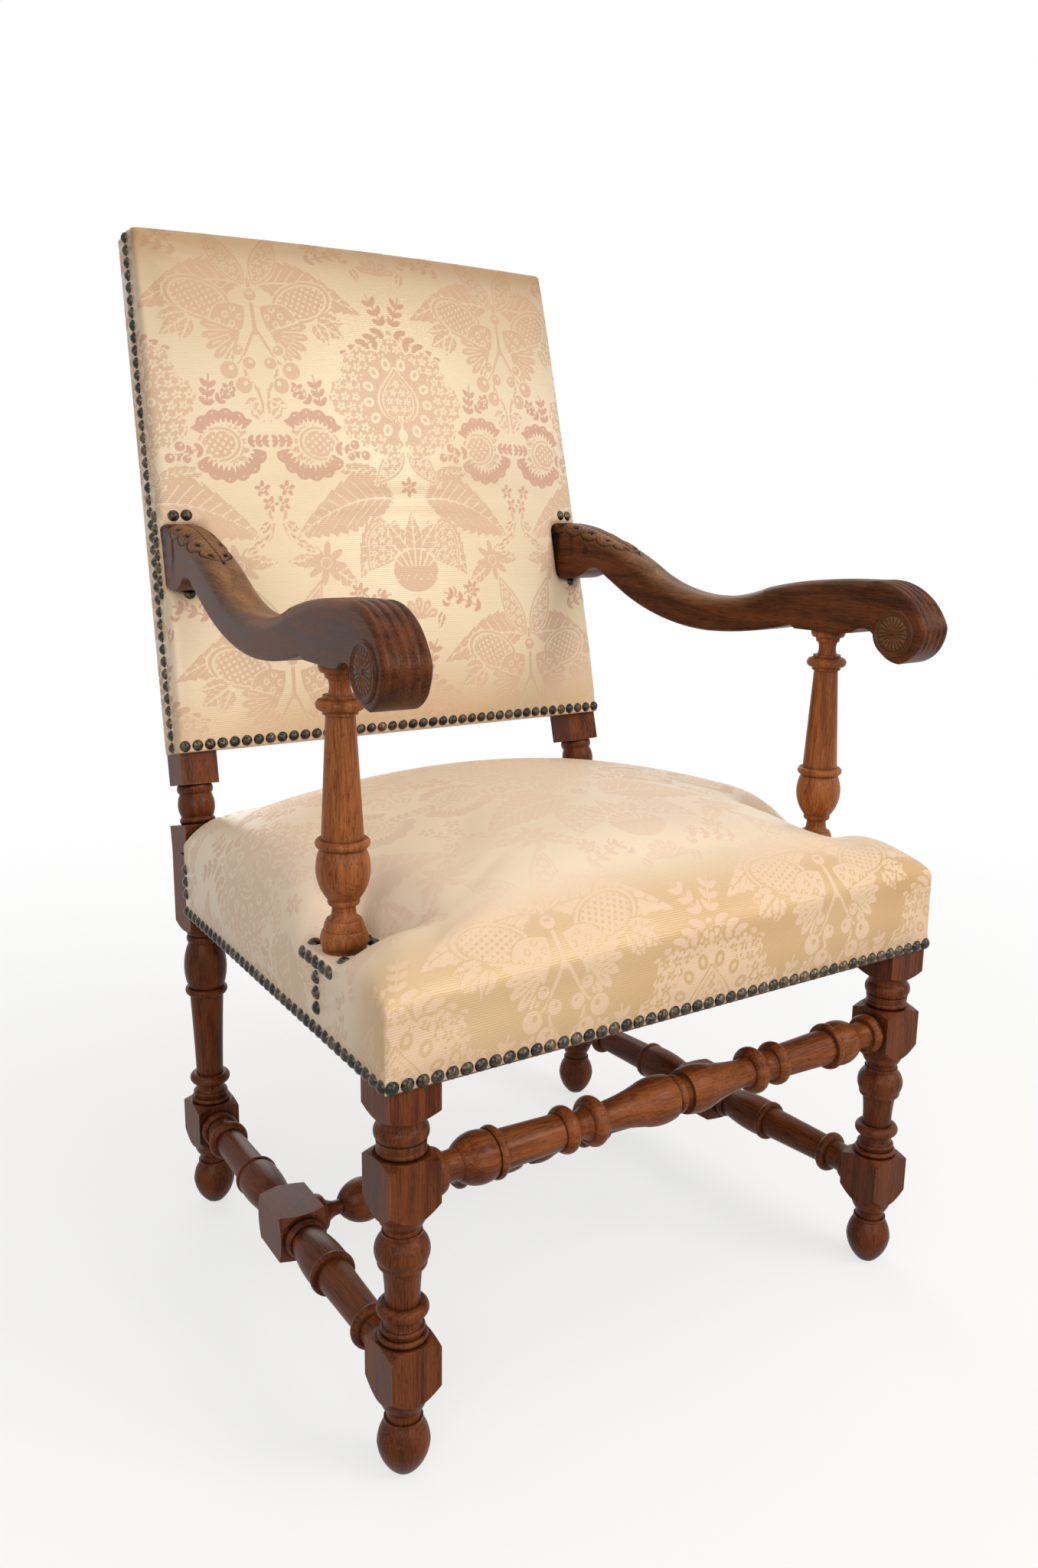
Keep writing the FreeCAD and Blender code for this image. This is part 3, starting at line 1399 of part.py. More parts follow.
# The back's stuffed form in the raked frame: level sections from its lower edge to the top. Each row:
# distance up from the lower edge or down from the top, and how far sides and crown stand before the posts.
BACK_SECTIONS = [
    ("low", 0, 5, 12),
    ("low", 35, 7, 26),
    ("low", 150, 9, 44),
    ("low", 300, 9, 48),
    ("high", 130, 8, 40),
    ("high", 30, 6, 24),
    ("high", 0, 4, 14),
]
cell("back_low", "=(back_cover_bottom - bend_height) / cos(rake * 1deg)")
cell("back_high", "=post_length + skin")
cell("back_rear", "=half_post")
cell("back_open", "=half_post + 10")
cell("back_datum", 200)
sheet.recompute()


def back_form(stem, inset, rear, run_on):
    """The back's form drawn in by a named inset; rear names how far back it runs, run_on how far down."""
    body = doc.addObject("PartDesign::Body", stem)
    sketches = []
    rows = list(BACK_SECTIONS)
    if run_on:
        first, second = rows[0], rows[1]
        share = run_on / second[1]
        side_depth = first[2] - share * (second[2] - first[2])
        crown = first[3] - share * (second[3] - first[3])
        rows.insert(0, ("low", -run_on, side_depth, crown))
    for i, (end, away, side_depth, crown) in enumerate(rows):
        name = f"{stem}_{i}"
        cell(f"{name}_w", f"=back_low + ({away})" if end == "low" else f"=back_high - {inset} - {away}")
        lean_in = f"{name}_w * tan(lean * 1deg)"
        edge = f"half_post / cos(lean * 1deg) + skin - {inset}"
        cell(f"{name}_width", f"=rear_leg_spacing - 2 * {lean_in} + 2 * ({edge})")
        cell(f"{name}_top", f"=back_datum + half_post + {side_depth} + skin - {inset}")
        cell(f"{name}_crown", f"=back_datum + half_post + {crown} + skin - {inset}")
        cell(f"{name}_base", f"=back_datum - {rear}")
    sheet.recompute()
    for i in range(len(rows)):
        name = f"{stem}_{i}"
        sketch = new_sketch(body, f"{name}_section", "XY_Plane", named(f"{name}_w"))
        crowned_section(
            sketch,
            name,
            number(f"{name}_width") / 2,
            number(f"{name}_base"),
            number(f"{name}_top"),
            number(f"{name}_crown"),
            f"{name}_base",
        )
        sketches.append(sketch)
    loft = body.newObject("PartDesign::AdditiveLoft", stem + "_loft")
    loft.Profile = sketches[0]
    loft.Sections = sketches[1:]
    loft.Ruled = False
    turned_round = Placement(Vector(0, number("back_datum"), 0), Rotation(Z_AXIS, 180))
    body.Placement = back_place.multiply(turned_round)
    return body


def arm_notches(stem, extra):
    """The openings through which the arms reach the posts."""
    notches = []
    for side_name, side in SIDES.items():
        width = number("arm_width") + 2 * extra
        low = number("arm_under") + number("arm_lip_end_height") - number("arm_drop") - 2 - extra
        high = number("arm_under") + number("arm_crest_height") - number("arm_drop") + extra
        notches.append(
            box(
                f"{stem}_{side_name}_arm_notch",
                (f"{width}", f"{3 * number('arm_width')}", f"{high - low}"),
                (-width / 2, number("arm_length") - 2 * number("arm_width"), low),
                arm_place(side),
            )
        )
    return notches


piece("back_webbing", cut("back_webbing", back_web_group, arm_notches("back_webbing", number("skin"))))

back_outer = back_form("back_outer", "no_inset", "back_rear", 0.0)
back_inner = back_form("back_inner", "cloth", "back_open", 5.0)
back_shell = cut("back_shell", back_outer, [back_inner])
piece("back_cover", cut("back_cover", back_shell, arm_notches("back_cover", number("soft_clearance"))))

cell("stuffing_front", "=half_post + web_thickness + hessian")
sheet.recompute()
back_core = back_form("back_core", "back_stuffing_inset", "back_open", 0.0)
behind_stuffing = box(
    "behind_stuffing",
    (REACH, REACH, "1.5 * Sizes.post_length"),
    (-float(REACH) / 2, -number("stuffing_front"), -number("bend_height") / 2),
    back_place,
)
stuffing = cut("back_stuffing_whole", back_core, [behind_stuffing])
piece("back_stuffing", cut("back_stuffing", stuffing, arm_notches("back_stuffing", number("skin"))))

back_hessian_form = back_form("back_hessian_form", "back_stuffing_inset", "back_open", 0.0)
hessian_sheet = box(
    "back_hessian_sheet",
    (REACH, named("hessian"), "1.5 * Sizes.post_length"),
    (-float(REACH) / 2, -number("stuffing_front"), 0),
    back_place,
)
hessian = doc.addObject("Part::Common", "back_hessian_cut")
hessian.Base = hessian_sheet
hessian.Tool = back_hessian_form
piece("back_hessian", cut("back_hessian", hessian, arm_notches("back_hessian", number("skin"))))

# The outside back: a flat panel of cloth over the rear of the posts and rails.
cell("outside_low_half", "=rear_leg_spacing / 2 - back_low * tan(lean * 1deg) + half_post")
cell("outside_high_half", "=rear_leg_spacing / 2 - post_length * tan(lean * 1deg) + half_post")
cell("outside_datum", 400)
cell("outside_low_left", "=outside_datum - outside_low_half")
cell("outside_low_right", "=outside_datum + outside_low_half")
cell("outside_high_left", "=outside_datum - outside_high_half")
cell("outside_high_right", "=outside_datum + outside_high_half")
sheet.recompute()
outside = doc.addObject("PartDesign::Body", "outside_back")
polygon_pad(
    outside,
    "outside_back",
    [
        ("outside_low_left", "back_low"),
        ("outside_low_right", "back_low"),
        ("outside_high_right", "post_length"),
        ("outside_high_left", "post_length"),
    ],
    "0",
    named("cloth"),
)
rear_face = Vector(-number("outside_datum"), number("half_post") + number("skin"), 0)
outside.Placement = back_place.multiply(Placement(rear_face, Rotation(X_AXIS, 90)))
piece("outside_back_cover", outside)


cell("column_top_below_rail", 11)
cell("side_nail_back", -4)
cell("top_nail_back", 10)
cell("arm_nail_away", 8)
cell("arm_side_nail_forward", 17)
doc.recompute()


def nail():
    """A nail's domed head, part of a ball, flat side at the origin and dome along +Z."""
    radius = number("nail_head") / 2
    rise = number("nail_rise")
    ball = (radius * radius + rise * rise) / (2 * rise)
    centre = rise - ball
    middle = (math.asin(-centre / ball) + math.pi / 2) / 2
    arc = Part.Arc(
        Vector(radius, 0, 0),
        Vector(ball * math.cos(middle), 0, centre + ball * math.sin(middle)),
        Vector(0, 0, rise),
    ).toShape()
    base = Part.makeLine(Vector(0, 0, 0), Vector(radius, 0, 0))
    axis = Part.makeLine(Vector(0, 0, rise), Vector(0, 0, 0))
    face = Part.Face(Part.Wire([base, arc, axis]))
    return face.revolve(Vector(0, 0, 0), Z_AXIS, 360)


one_nail = nail()


def nail_at(point, normal):
    """A nail standing on a surface."""
    placed = one_nail.copy()
    placed.Placement = Placement(point, Rotation(Z_AXIS, normal))
    return placed


def nail_row(start, end, normal, first=True, last=True):
    """Evenly spaced nails on a straight line, as near to the pitch as the line allows."""
    span = end - start
    steps = max(1, round(span.Length / number("nail_pitch")))
    chosen = range(0 if first else 1, steps + 1 if last else steps)
    return [nail_at(start + span * (i / steps), normal) for i in chosen]


def met(form, point, direction):
    """Where a line through a point first meets a form, coming in along a direction."""
    far = float(REACH)
    line = Part.makeLine(point - direction * far, point + direction * far)
    hits = [v.Point for v in line.common(form.Shape).Vertexes]
    return min(hits, key=lambda hit: hit.dot(direction)) if hits else None


def nail_on(form, point, direction, across, up):
    """A nail square on a form's surface where the line through the point meets it."""
    step = number("nail_head") / 4
    here = met(form, point, direction)
    beside = met(form, point + across * step, direction)
    above = met(form, point + up * step, direction)
    normal = (beside - here).cross(above - here).normalize()
    if normal.dot(direction) > 0:
        normal = normal * -1
    return nail_at(here, normal)


def nail_piece(label, nails):
    feature = doc.addObject("Part::Feature", label)
    feature.Shape = Part.makeCompound(nails)
    piece(label, feature)


# Nails of the seat: one row along the cover's lower edge all round, and a column under each arm support
# and beside each back post.
skin = number("skin")
half_head = number("nail_head") / 2
out_front = number("front_leg_spacing") / 2 + number("half_leg") + number("side_swell") + skin
out_rear = number("rear_leg_spacing") / 2 + number("half_leg") + number("side_swell") + skin
seat_front = number("front_y") - number("half_leg") - skin
seat_rear = number("rear_y") + number("half_leg") + skin
post_front = number("rear_y") - number("half_leg") - half_head - number("soft_clearance")
row_height = number("rail_bottom") + number("nail_row_height")
column_top = number("rail_top") - number("column_top_below_rail")
side_run = (out_rear - out_front) / number("leg_depth")


def seat_side(y):
    """Half the seat's width over the cloth at a place front to back."""
    return out_front + (y - number("front_y")) * side_run


front_edge = out_front - side_run * number("half_leg") - half_head
seat_nails = nail_row(
    Vector(-front_edge, seat_front, row_height),
    Vector(front_edge, seat_front, row_height),
    Vector(0, -1, 0),
)
inner_post = number("rear_leg_spacing") / 2 - number("half_leg") - half_head - number("soft_clearance")
seat_nails += nail_row(
    Vector(-inner_post, seat_rear, row_height),
    Vector(inner_post, seat_rear, row_height),
    Vector(0, 1, 0),
)
for side in SIDES.values():
    normal = Vector(side, -side_run, 0).normalize()
    first_y = seat_front + half_head
    seat_nails += nail_row(
        Vector(side * seat_side(first_y), first_y, row_height),
        Vector(side * seat_side(post_front), post_front, row_height),
        normal,
    )
    for y in (number("support_y"), post_front):
        seat_nails += nail_row(
            Vector(side * seat_side(y), y, row_height + half_head),
            Vector(side * seat_side(y), y, column_top),
            normal,
            first=False,
        )
nail_piece("seat_nails", seat_nails)

# Nails round the foot of each arm support: on the floor of the sunk place, and along the side below it.
base_nails = []
for side in SIDES.values():
    away = number("base_nail_away")
    half_depth = number("base_plate_depth") / 2 + away
    inner = number("support_x") - number("base_plate_width") / 2 - away
    outer = seat_side(number("support_y")) - 2 * half_head
    steps = round((outer - inner) / number("nail_pitch"))
    spots = []
    for i in range(steps + 1):
        x = inner + (outer - inner) * i / steps
        spots += [(x, -half_depth), (x, half_depth)]
    steps = round(2 * half_depth / number("nail_pitch"))
    spots += [(inner, -half_depth + 2 * half_depth * i / steps) for i in range(1, steps)]
    for x, y in spots:
        point = Vector(side * x, number("support_y") + y, number("rail_top"))
        base_nails.append(nail_on(seat_sunk, point, Vector(0, 0, -1), X_AXIS, Y_AXIS))
    height = number("rail_top") + number("support_pit_floor") - half_head - number("soft_clearance")
    ends = [number("support_y") + end * half_depth for end in (-1, 1)]
    base_nails += nail_row(
        Vector(side * seat_side(ends[0]), ends[0], height),
        Vector(side * seat_side(ends[1]), ends[1], height),
        Vector(side, -side_run, 0).normalize(),
    )
nail_piece("support_base_nails", base_nails)

# Nails of the back: a row along the lower edge, one up each side and one along the top.
low_w = number("back_low") + number("nail_row_height")
high_w = number("back_high")
tangent = math.tan(math.radians(number("lean")))
back_in = back_rotation.multVec(Y_AXIS)
back_up = back_rotation.multVec(Z_AXIS)


def back_half(w):
    """Half the back's width over the cloth at a height along the posts."""
    edge = number("half_post") / math.cos(math.radians(number("lean")))
    return number("rear_leg_spacing") / 2 - w * tangent + edge + skin


def in_back(x, y, w):
    """A place in the raked frame of the back."""
    return back_place.multVec(Vector(x, y, w))


chord = 2 * (back_half(low_w) - half_head)
steps = round(chord / number("nail_pitch"))
back_nails = []
for i in range(steps + 1):
    point = in_back(-chord / 2 + i * chord / steps, 0, low_w)
    back_nails.append(nail_on(back_outer, point, back_in, X_AXIS, back_up))
for side in SIDES.values():
    normal = back_rotation.multVec(Vector(side, 0, tangent).normalize())
    depth = number("side_nail_back")
    end_w = high_w - half_head
    back_nails += nail_row(
        in_back(side * back_half(low_w), depth, low_w), in_back(side * back_half(end_w), depth, end_w), normal
    )
top_half = back_half(high_w) - 2 * half_head
back_nails += nail_row(
    in_back(-top_half, number("top_nail_back"), high_w),
    in_back(top_half, number("top_nail_back"), high_w),
    back_up,
)
nail_piece("back_nails", back_nails)

# Nails round each arm's end, over and under it and up its outer side.
arm_nails = []
for side in SIDES.values():
    away = number("arm_nail_away")
    low = number("arm_under") + number("arm_lip_end_height") - number("arm_drop") - away
    high = number("arm_under") + number("arm_crest_height") - number("arm_drop") + away
    near = number("arm_end_x")
    spots = [(near - half_head, high), (near + half_head + 1, high), (near, low - 1)]
    rake = math.radians(number("rake"))
    before = number("half_post") + BACK_SECTIONS[1][2]
    for x, z in spots:
        w = (z - number("bend_height") - before * math.sin(rake)) / math.cos(rake)
        arm_nails.append(nail_on(back_outer, in_back(side * x, 0, w), back_in, X_AXIS, back_up))
    forward = -number("arm_side_nail_forward")
    lift = forward * math.sin(rake) - number("bend_height")
    low_side, high_side = (low + lift) / math.cos(rake), (high + lift) / math.cos(rake)
    arm_nails += nail_row(
        in_back(side * back_half(low_side), forward, low_side),
        in_back(side * back_half(high_side), forward, high_side),
        back_rotation.multVec(Vector(side, 0, tangent).normalize()),
    )
nail_piece("arm_end_nails", arm_nails)

doc.recompute()

# Every object must be sound before anything is written.
faults = []
for obj in doc.Objects:
    if "Invalid" in obj.State or "Error" in obj.State:
        faults.append(f"{obj.Label}: {obj.State}")
for label, obj in pieces.items():
    if obj.Shape.isNull() or not obj.Shape.isValid() or not obj.Shape.Solids:
        faults.append(f"{label}: no sound solid")
if faults:
    raise RuntimeError("; ".join(faults))

os.makedirs("parts", exist_ok=True)
for label, obj in pieces.items():
    obj.Shape.exportStep(f"parts/{label}.step")
print(len(pieces), "sub-parts,", sum(len(o.Shape.Solids) for o in pieces.values()), "solids")
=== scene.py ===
import math

import bmesh
import bpy
import numpy as np
from mathutils import Matrix, Vector
from mathutils.bvhtree import BVHTree


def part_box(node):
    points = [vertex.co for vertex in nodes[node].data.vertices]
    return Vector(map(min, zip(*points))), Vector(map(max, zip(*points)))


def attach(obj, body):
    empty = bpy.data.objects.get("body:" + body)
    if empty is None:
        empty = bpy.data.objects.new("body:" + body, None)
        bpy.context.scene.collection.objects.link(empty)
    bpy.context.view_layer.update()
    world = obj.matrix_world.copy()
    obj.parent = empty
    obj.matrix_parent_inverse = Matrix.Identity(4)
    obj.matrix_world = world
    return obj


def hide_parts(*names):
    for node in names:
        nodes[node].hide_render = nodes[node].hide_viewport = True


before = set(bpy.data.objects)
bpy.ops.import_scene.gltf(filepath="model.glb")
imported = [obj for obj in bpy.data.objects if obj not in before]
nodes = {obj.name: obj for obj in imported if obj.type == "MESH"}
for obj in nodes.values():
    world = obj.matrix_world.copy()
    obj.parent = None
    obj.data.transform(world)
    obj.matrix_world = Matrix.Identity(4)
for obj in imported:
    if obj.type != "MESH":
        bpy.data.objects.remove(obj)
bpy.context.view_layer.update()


# Turned frame: legs with their blocks, stretchers and arm supports. Walnut, turned on a lathe between
# square blocks and tenoned together, then stained and waxed; every hollow is darker, partly from wax and dust
# and partly painted shade.
def linear(code):
    """An sRGB hex colour as linear light."""
    parts = [int(code[i:i + 2], 16) / 255 for i in (1, 3, 5)]
    return [c / 12.92 if c <= 0.04045 else ((c + 0.055) / 1.055) ** 2.4 for c in parts] + [1.0]


def feed(tree, node, inputs):
    """Sets inputs of a node, each to a value or to another node's output."""
    for socket, value in inputs.items():
        if isinstance(value, bpy.types.NodeSocket):
            tree.links.new(value, node.inputs[socket])
        else:
            node.inputs[socket].default_value = value


def add(tree, kind, inputs, out=0, **settings):
    """Adds one node with its settings and inputs, and gives one of its outputs."""
    made = tree.nodes.new(kind)
    for name, value in settings.items():
        setattr(made, name, value)
    feed(tree, made, inputs)
    return made.outputs[out]


def new_material(name):
    """An empty material: its node tree and its shader."""
    made = bpy.data.materials.new(name)
    made.use_nodes = True
    return made, made.node_tree, made.node_tree.nodes["Principled BSDF"]


def waxed_walnut(name, grain, light, dark, hollow, worn, reach, rub):
    """Waxed walnut: streaked along the grain, short dark pores, wax and painted shade in hollows, paler rubbed edges.
    """
    made, tree, shader = new_material(name)
    place = add(tree, "ShaderNodeTexCoord", {}, "Object")
    turned = add(tree, "ShaderNodeMapping", {"Vector": place, "Rotation": grain})
    # Bands of colour about 14 mm wide and 160 mm long, fine streaks about 1.5 mm wide and 40 mm long, and pores
    # about 0.9 mm wide and 7 mm long, drawn twice their real width so that they show.
    figure = []
    for scale, settings in (
        ((70, 70, 6), {"Detail": 3, "Distortion": 0.6}),
        ((640, 640, 24), {"Detail": 4, "Roughness": 0.65}),
        ((1100, 1100, 140), {"Detail": 1}),
    ):
        drawn_out = add(tree, "ShaderNodeMapping", {"Vector": turned, "Scale": scale})
        figure.append(add(tree, "ShaderNodeTexNoise", {"Vector": drawn_out, "Scale": 1, **settings}))
    bands, streaks, dashes = figure
    pores = add(
        tree, "ShaderNodeMapRange",
        {"Value": dashes, "From Min": 0.6, "From Max": 0.7, "To Min": 0.0, "To Max": 0.5},
    )
    both = add(tree, "ShaderNodeMix", {0: 0.5, 2: bands, 3: streaks})
    tone = add(
        tree, "ShaderNodeMapRange", {"Value": both, "From Min": 0.36, "From Max": 0.64},
        interpolation_type="SMOOTHSTEP",
    )
    # Dark wax and painted shade where a hollow closes off the light, reaching 16 mm on turnings and 6 mm on carving.
    # The chisel's carving, marked on the mesh, is darkened more, also with wax and painted shade.
    open_air = add(tree, "ShaderNodeAmbientOcclusion", {"Distance": reach}, "AO", samples=6)
    wax_and_shade = add(
        tree, "ShaderNodeMapRange",
        {"Value": open_air, "From Min": 0.3, "From Max": 0.85, "To Min": 0.85, "To Max": 0.0},
    )
    carved_wax_and_shade = add(tree, "ShaderNodeAttribute", {}, "Fac", attribute_name="cut")
    # Edges rubbed pale over about 2 mm, and the places marked on the mesh, the tops of the arms worn by hands and the
    # rosettes' petal ridges paler by rubbing and painted highlight, in patches about 40 mm long, both broken up by the
    # streaks.
    solid = add(tree, "ShaderNodeAmbientOcclusion", {"Distance": 0.0025}, "AO", samples=6, inside=True)
    edge = add(
        tree, "ShaderNodeMapRange",
        {"Value": solid, "From Min": 0.35, "From Max": 0.6, "To Min": rub, "To Max": 0.0},
    )
    wear_and_highlight = add(tree, "ShaderNodeAttribute", {}, "Fac", attribute_name="wear_and_highlight")
    patches = add(tree, "ShaderNodeMath", {0: wear_and_highlight, 1: bands}, operation="MULTIPLY")
    edge = add(tree, "ShaderNodeMath", {0: edge, 1: patches}, operation="MAXIMUM")
    rubbed = add(tree, "ShaderNodeMath", {0: edge, 1: streaks}, operation="MULTIPLY")
    wood = linear(dark)
    for share, colour in ((tone, light), (pores, hollow), (wax_and_shade, hollow), (carved_wax_and_shade, hollow), (rubbed, worn)):
        wood = add(tree, "ShaderNodeMix", {0: share, 6: wood, 7: linear(colour)}, 2, data_type="RGBA")
    rough = add(
        tree, "ShaderNodeMapRange", {"Value": both, "From Min": 0.3, "From Max": 0.7, "To Min": 0.3, "To Max": 0.5},
    )
    relief = add(tree, "ShaderNodeMath", {0: streaks, 1: pores}, operation="SUBTRACT")
    bump = add(tree, "ShaderNodeBump", {"Strength": 0.35, "Distance": 0.0004, "Height": relief})
    feed(tree, shader, {"Base Color": wood, "Roughness": rough, "Normal": bump})
    feed(tree, shader, {"Specular IOR Level": 0.1, "Coat Weight": 0.06, "Coat Roughness": 0.2})
    return made


def refinish(finish, *names):
    """Gives CAD pieces a finish in place of their plain one."""
    for name in names:
        nodes[name].data.materials.clear()
        nodes[name].data.materials.append(finish)


ALONG_Z = (0, 0, 0)
ALONG_X = (0, -math.pi / 2, 0)
ALONG_Y = (math.pi / 2, 0, 0)
# Pale and dark of the grain, wax and painted shade, rubbed wood, how far the dark of hollows reaches in metres, and
# how strongly edges are rubbed.
LEG_TONES = ("#743C1B", "#421D0A", "#170904", "#A9764A", 0.016, 0.7)
# The supports and the front stretcher take paler copies of the legs' walnut: painted light.
SUPPORT_PAINTED_LIGHT_TONES = ("#A86535", "#703B1B", "#1F0D06", "#C69363", 0.016, 0.8)
FRONT_PAINTED_LIGHT_TONES = ("#8E4F27", "#572911", "#1A0B05", "#C08C5C", 0.016, 0.8)
RAILS_ACROSS = ["seat_rail_front", "seat_rail_rear", "back_rail_bottom", "back_rail_top"]
GRAIN = [
    ("upright", ALONG_Z, LEG_TONES, ["front_leg_left", "front_leg_right", "rear_leg_left", "rear_leg_right"]),
    ("support", ALONG_Z, SUPPORT_PAINTED_LIGHT_TONES, ["arm_support_left", "arm_support_right"]),
    ("front", ALONG_X, FRONT_PAINTED_LIGHT_TONES, ["front_stretcher"]),
    ("across", ALONG_X, LEG_TONES, ["cross_stretcher"] + RAILS_ACROSS),
    (
        "front_to_back", ALONG_Y, LEG_TONES,
        ["side_stretcher_left", "side_stretcher_right", "seat_rail_left", "seat_rail_right"],
    ),
]
for way, grain, tones, names in GRAIN:
    refinish(waxed_walnut("waxed_walnut_" + way, grain, *tones), *names)


# Arms: walnut sawn to an S, rounded over on top, with a scroll that is reeded round its front, a petal rosette
# on each cheek and a leaf cut in at the back. Tenoned into the posts and pegged on to the supports.
def arc_through(start, middle, end, spacing):
    """Points along the circle through three points, without the last one."""
    (ax, ay), (bx, by), (cx, cy) = start, middle, end
    d = 2 * (ax * (by - cy) + bx * (cy - ay) + cx * (ay - by))
    a2, b2, c2 = ax * ax + ay * ay, bx * bx + by * by, cx * cx + cy * cy
    ox = (a2 * (by - cy) + b2 * (cy - ay) + c2 * (ay - by)) / d
    oy = (a2 * (cx - bx) + b2 * (ax - cx) + c2 * (bx - ax)) / d
    first = math.atan2(ay - oy, ax - ox)
    through = (math.atan2(by - oy, bx - ox) - first) % (2 * math.pi)
    sweep = (math.atan2(cy - oy, cx - ox) - first) % (2 * math.pi)
    if through > sweep:
        sweep -= 2 * math.pi
    radius = math.hypot(ax - ox, ay - oy)
    steps = max(2, round(abs(sweep) * radius / spacing))
    turns = [first + sweep * i / steps for i in range(steps)]
    return [(ox + radius * math.cos(t), oy + radius * math.sin(t)) for t in turns]


ARM_LENGTH = 450.14
ARM_SLANT = math.radians(3.796)
ARM_FOOT = (286.8, -215.4, 684.0)
ARM_HALF = 21.0
# Name, place along the arm from the support, height over the support, middle of the arc to it, edge radius.
ARM_OUTLINE = [
    ("pad_front", -30, 0, None, 1.5),
    ("pad_rear", 30, 0, None, 1.5),
    ("belly_start", 37, 3, None, 3),
    ("belly", 160, -14, (95, -8.5), 6),
    ("rise", ARM_LENGTH - 148, 18, (ARM_LENGTH - 216, -5.5), 6),
    ("rise_end", ARM_LENGTH - 107, 40, None, 5),
    ("lip_cove", ARM_LENGTH - 74, 40, (ARM_LENGTH - 90, 46.5), 2),
    ("lip_end", ARM_LENGTH - 20, 33, (ARM_LENGTH - 52, 32), 2),
    ("end_low", ARM_LENGTH + 8, 33, None, 2),
    ("end_high", ARM_LENGTH + 16, 99, None, 4),
    ("crest", ARM_LENGTH - 30, 99, None, 13),
    ("shoulder", ARM_LENGTH - 97, 86, (ARM_LENGTH - 64, 94.8), 13),
    ("slope", ARM_LENGTH - 190, 48.5, (ARM_LENGTH - 143, 70.5), 14),
    ("dip", 78, 40.5, (174, 26), 14),
    ("scroll_top", -60, 56, (8, 52.5), 7),
    ("scroll_front", -132, 13, (-112.5, 41), 3),
    ("scroll_under", -104, -24, (-123.5, -11.5), 3),
    ("scroll_back", -73, 1, (-83, -15.5), 3),
    ("hollow", -45, 2, (-60, 7.5), 2),
]
TOP_PARTS = ("crest", "shoulder", "slope")
FINE_SPACING, SPACING = 1.0, 2.4
FAR_OFF = 1e3
line, rounding, part_of = [], [], []
for (_, *start, _, radius), (part, *end, middle, end_radius) in zip(ARM_OUTLINE, ARM_OUTLINE[1:] + ARM_OUTLINE[:1]):
    spacing = FINE_SPACING if part in TOP_PARTS else SPACING
    if middle:
        run = arc_through(start, middle, end, spacing)
    else:
        steps = max(1, round(math.dist(start, end) / spacing))
        run = list(np.linspace(start, end, steps, endpoint=False))
    line += run
    rounding += list(np.linspace(radius, end_radius, len(run), endpoint=False))
    part_of += [(part, k / len(run)) for k in range(len(run))]
line = np.array(line)
way = np.roll(line, -2, axis=0) - np.roll(line, 2, axis=0)
way /= np.linalg.norm(way, axis=1)[:, None]
inward = np.stack([-way[:, 1], way[:, 0]], axis=1)
# How far each point is from the post along the top, for the leaf, and how strongly it is reeded.
from_post = np.full(len(line), FAR_OFF)
reeded = np.zeros(len(line))
walked = 0.0
for i, (part, share) in enumerate(part_of):
    if part in TOP_PARTS:
        walked += math.dist(line[i], line[i - 1]) if from_post[i - 1] < FAR_OFF else 0.0
        from_post[i] = walked
    elif part == "scroll_top":
        reeded[i] = max(0.0, (share - 0.45) / 0.55) ** 0.8
    elif part == "scroll_front":
        reeded[i] = 1.0
    elif part == "scroll_under":
        reeded[i] = max(0.0, 1.0 - max(0.0, share - 0.35) / 0.15)
# How far hands have worn each part of the top.
HANDLED = {"shoulder": 1.1, "slope": 1.3, "dip": 1.3, "scroll_top": 0.4}
REEDS, REED_DEEP = 5, 2.4
LEAF_START, LEAF_LONG, LEAF_HALF, LOBE, HATCH = 50.0, 172.0, 27.0, 30.0, 7.5
ROUND_STEPS, FLAT_STEPS = 16, 30
quarter = [math.pi / 2 * k / ROUND_STEPS for k in range(ROUND_STEPS, 0, -1)]
stations = [(-1, 1.0, a) for a in quarter]
stations += [(1, -1 + 2 * k / FLAT_STEPS, 0.0) for k in range(FLAT_STEPS + 1)]
stations += [(1, 1.0, a) for a in reversed(quarter)]


def leaf_depth(away, across):
    """How far the carved leaf sinks or stands at a place on the arm's top, in mm."""
    share = max(0.0, away - LEAF_START) / (LEAF_LONG - LEAF_START)
    if share >= 1.05:
        return 0.0
    scallop = 0.76 + 0.24 * abs(math.sin(math.pi * (away - LEAF_LONG) / LOBE)) ** 0.7
    half = LEAF_HALF * math.sqrt(max(0.0, 1 - share ** 2.4)) * scallop
    reach = half - abs(across)
    if reach < -4:
        return 0.0
    outline = 2.2 * math.exp(-(reach / 1.2) ** 2)
    if reach < 0:
        return outline
    vein = 1.9 * math.exp(-(across / 1.1) ** 2)
    step = (away - 0.6 * abs(across)) / HATCH
    fading = min(1.0, abs(across) / 3) * min(1.0, reach / 4)
    hatch = 1.3 * math.exp(-((step - round(step)) * HATCH / 0.9) ** 2) * fading
    lobe_middle = LEAF_LONG - (math.floor((LEAF_LONG - away) / LOBE) + 0.5) * LOBE
    eye = 3.4 * math.exp(-((away - lobe_middle) / 5.5) ** 2 - ((abs(across) - half * 0.55) / 2.6) ** 2)
    return outline + vein + hatch + eye - 0.9 * min(1.0, reach / 2)


def grow(shape, edges):
    """Extrudes edges: the new vertices, and the new edges along them."""
    geom = bmesh.ops.extrude_edge_only(shape, edges=edges)["geom"]
    verts = [g for g in geom if isinstance(g, bmesh.types.BMVert)]
    fresh = set(verts)
    return verts, [g for g in geom if isinstance(g, bmesh.types.BMEdge) and fresh.issuperset(g.verts)]


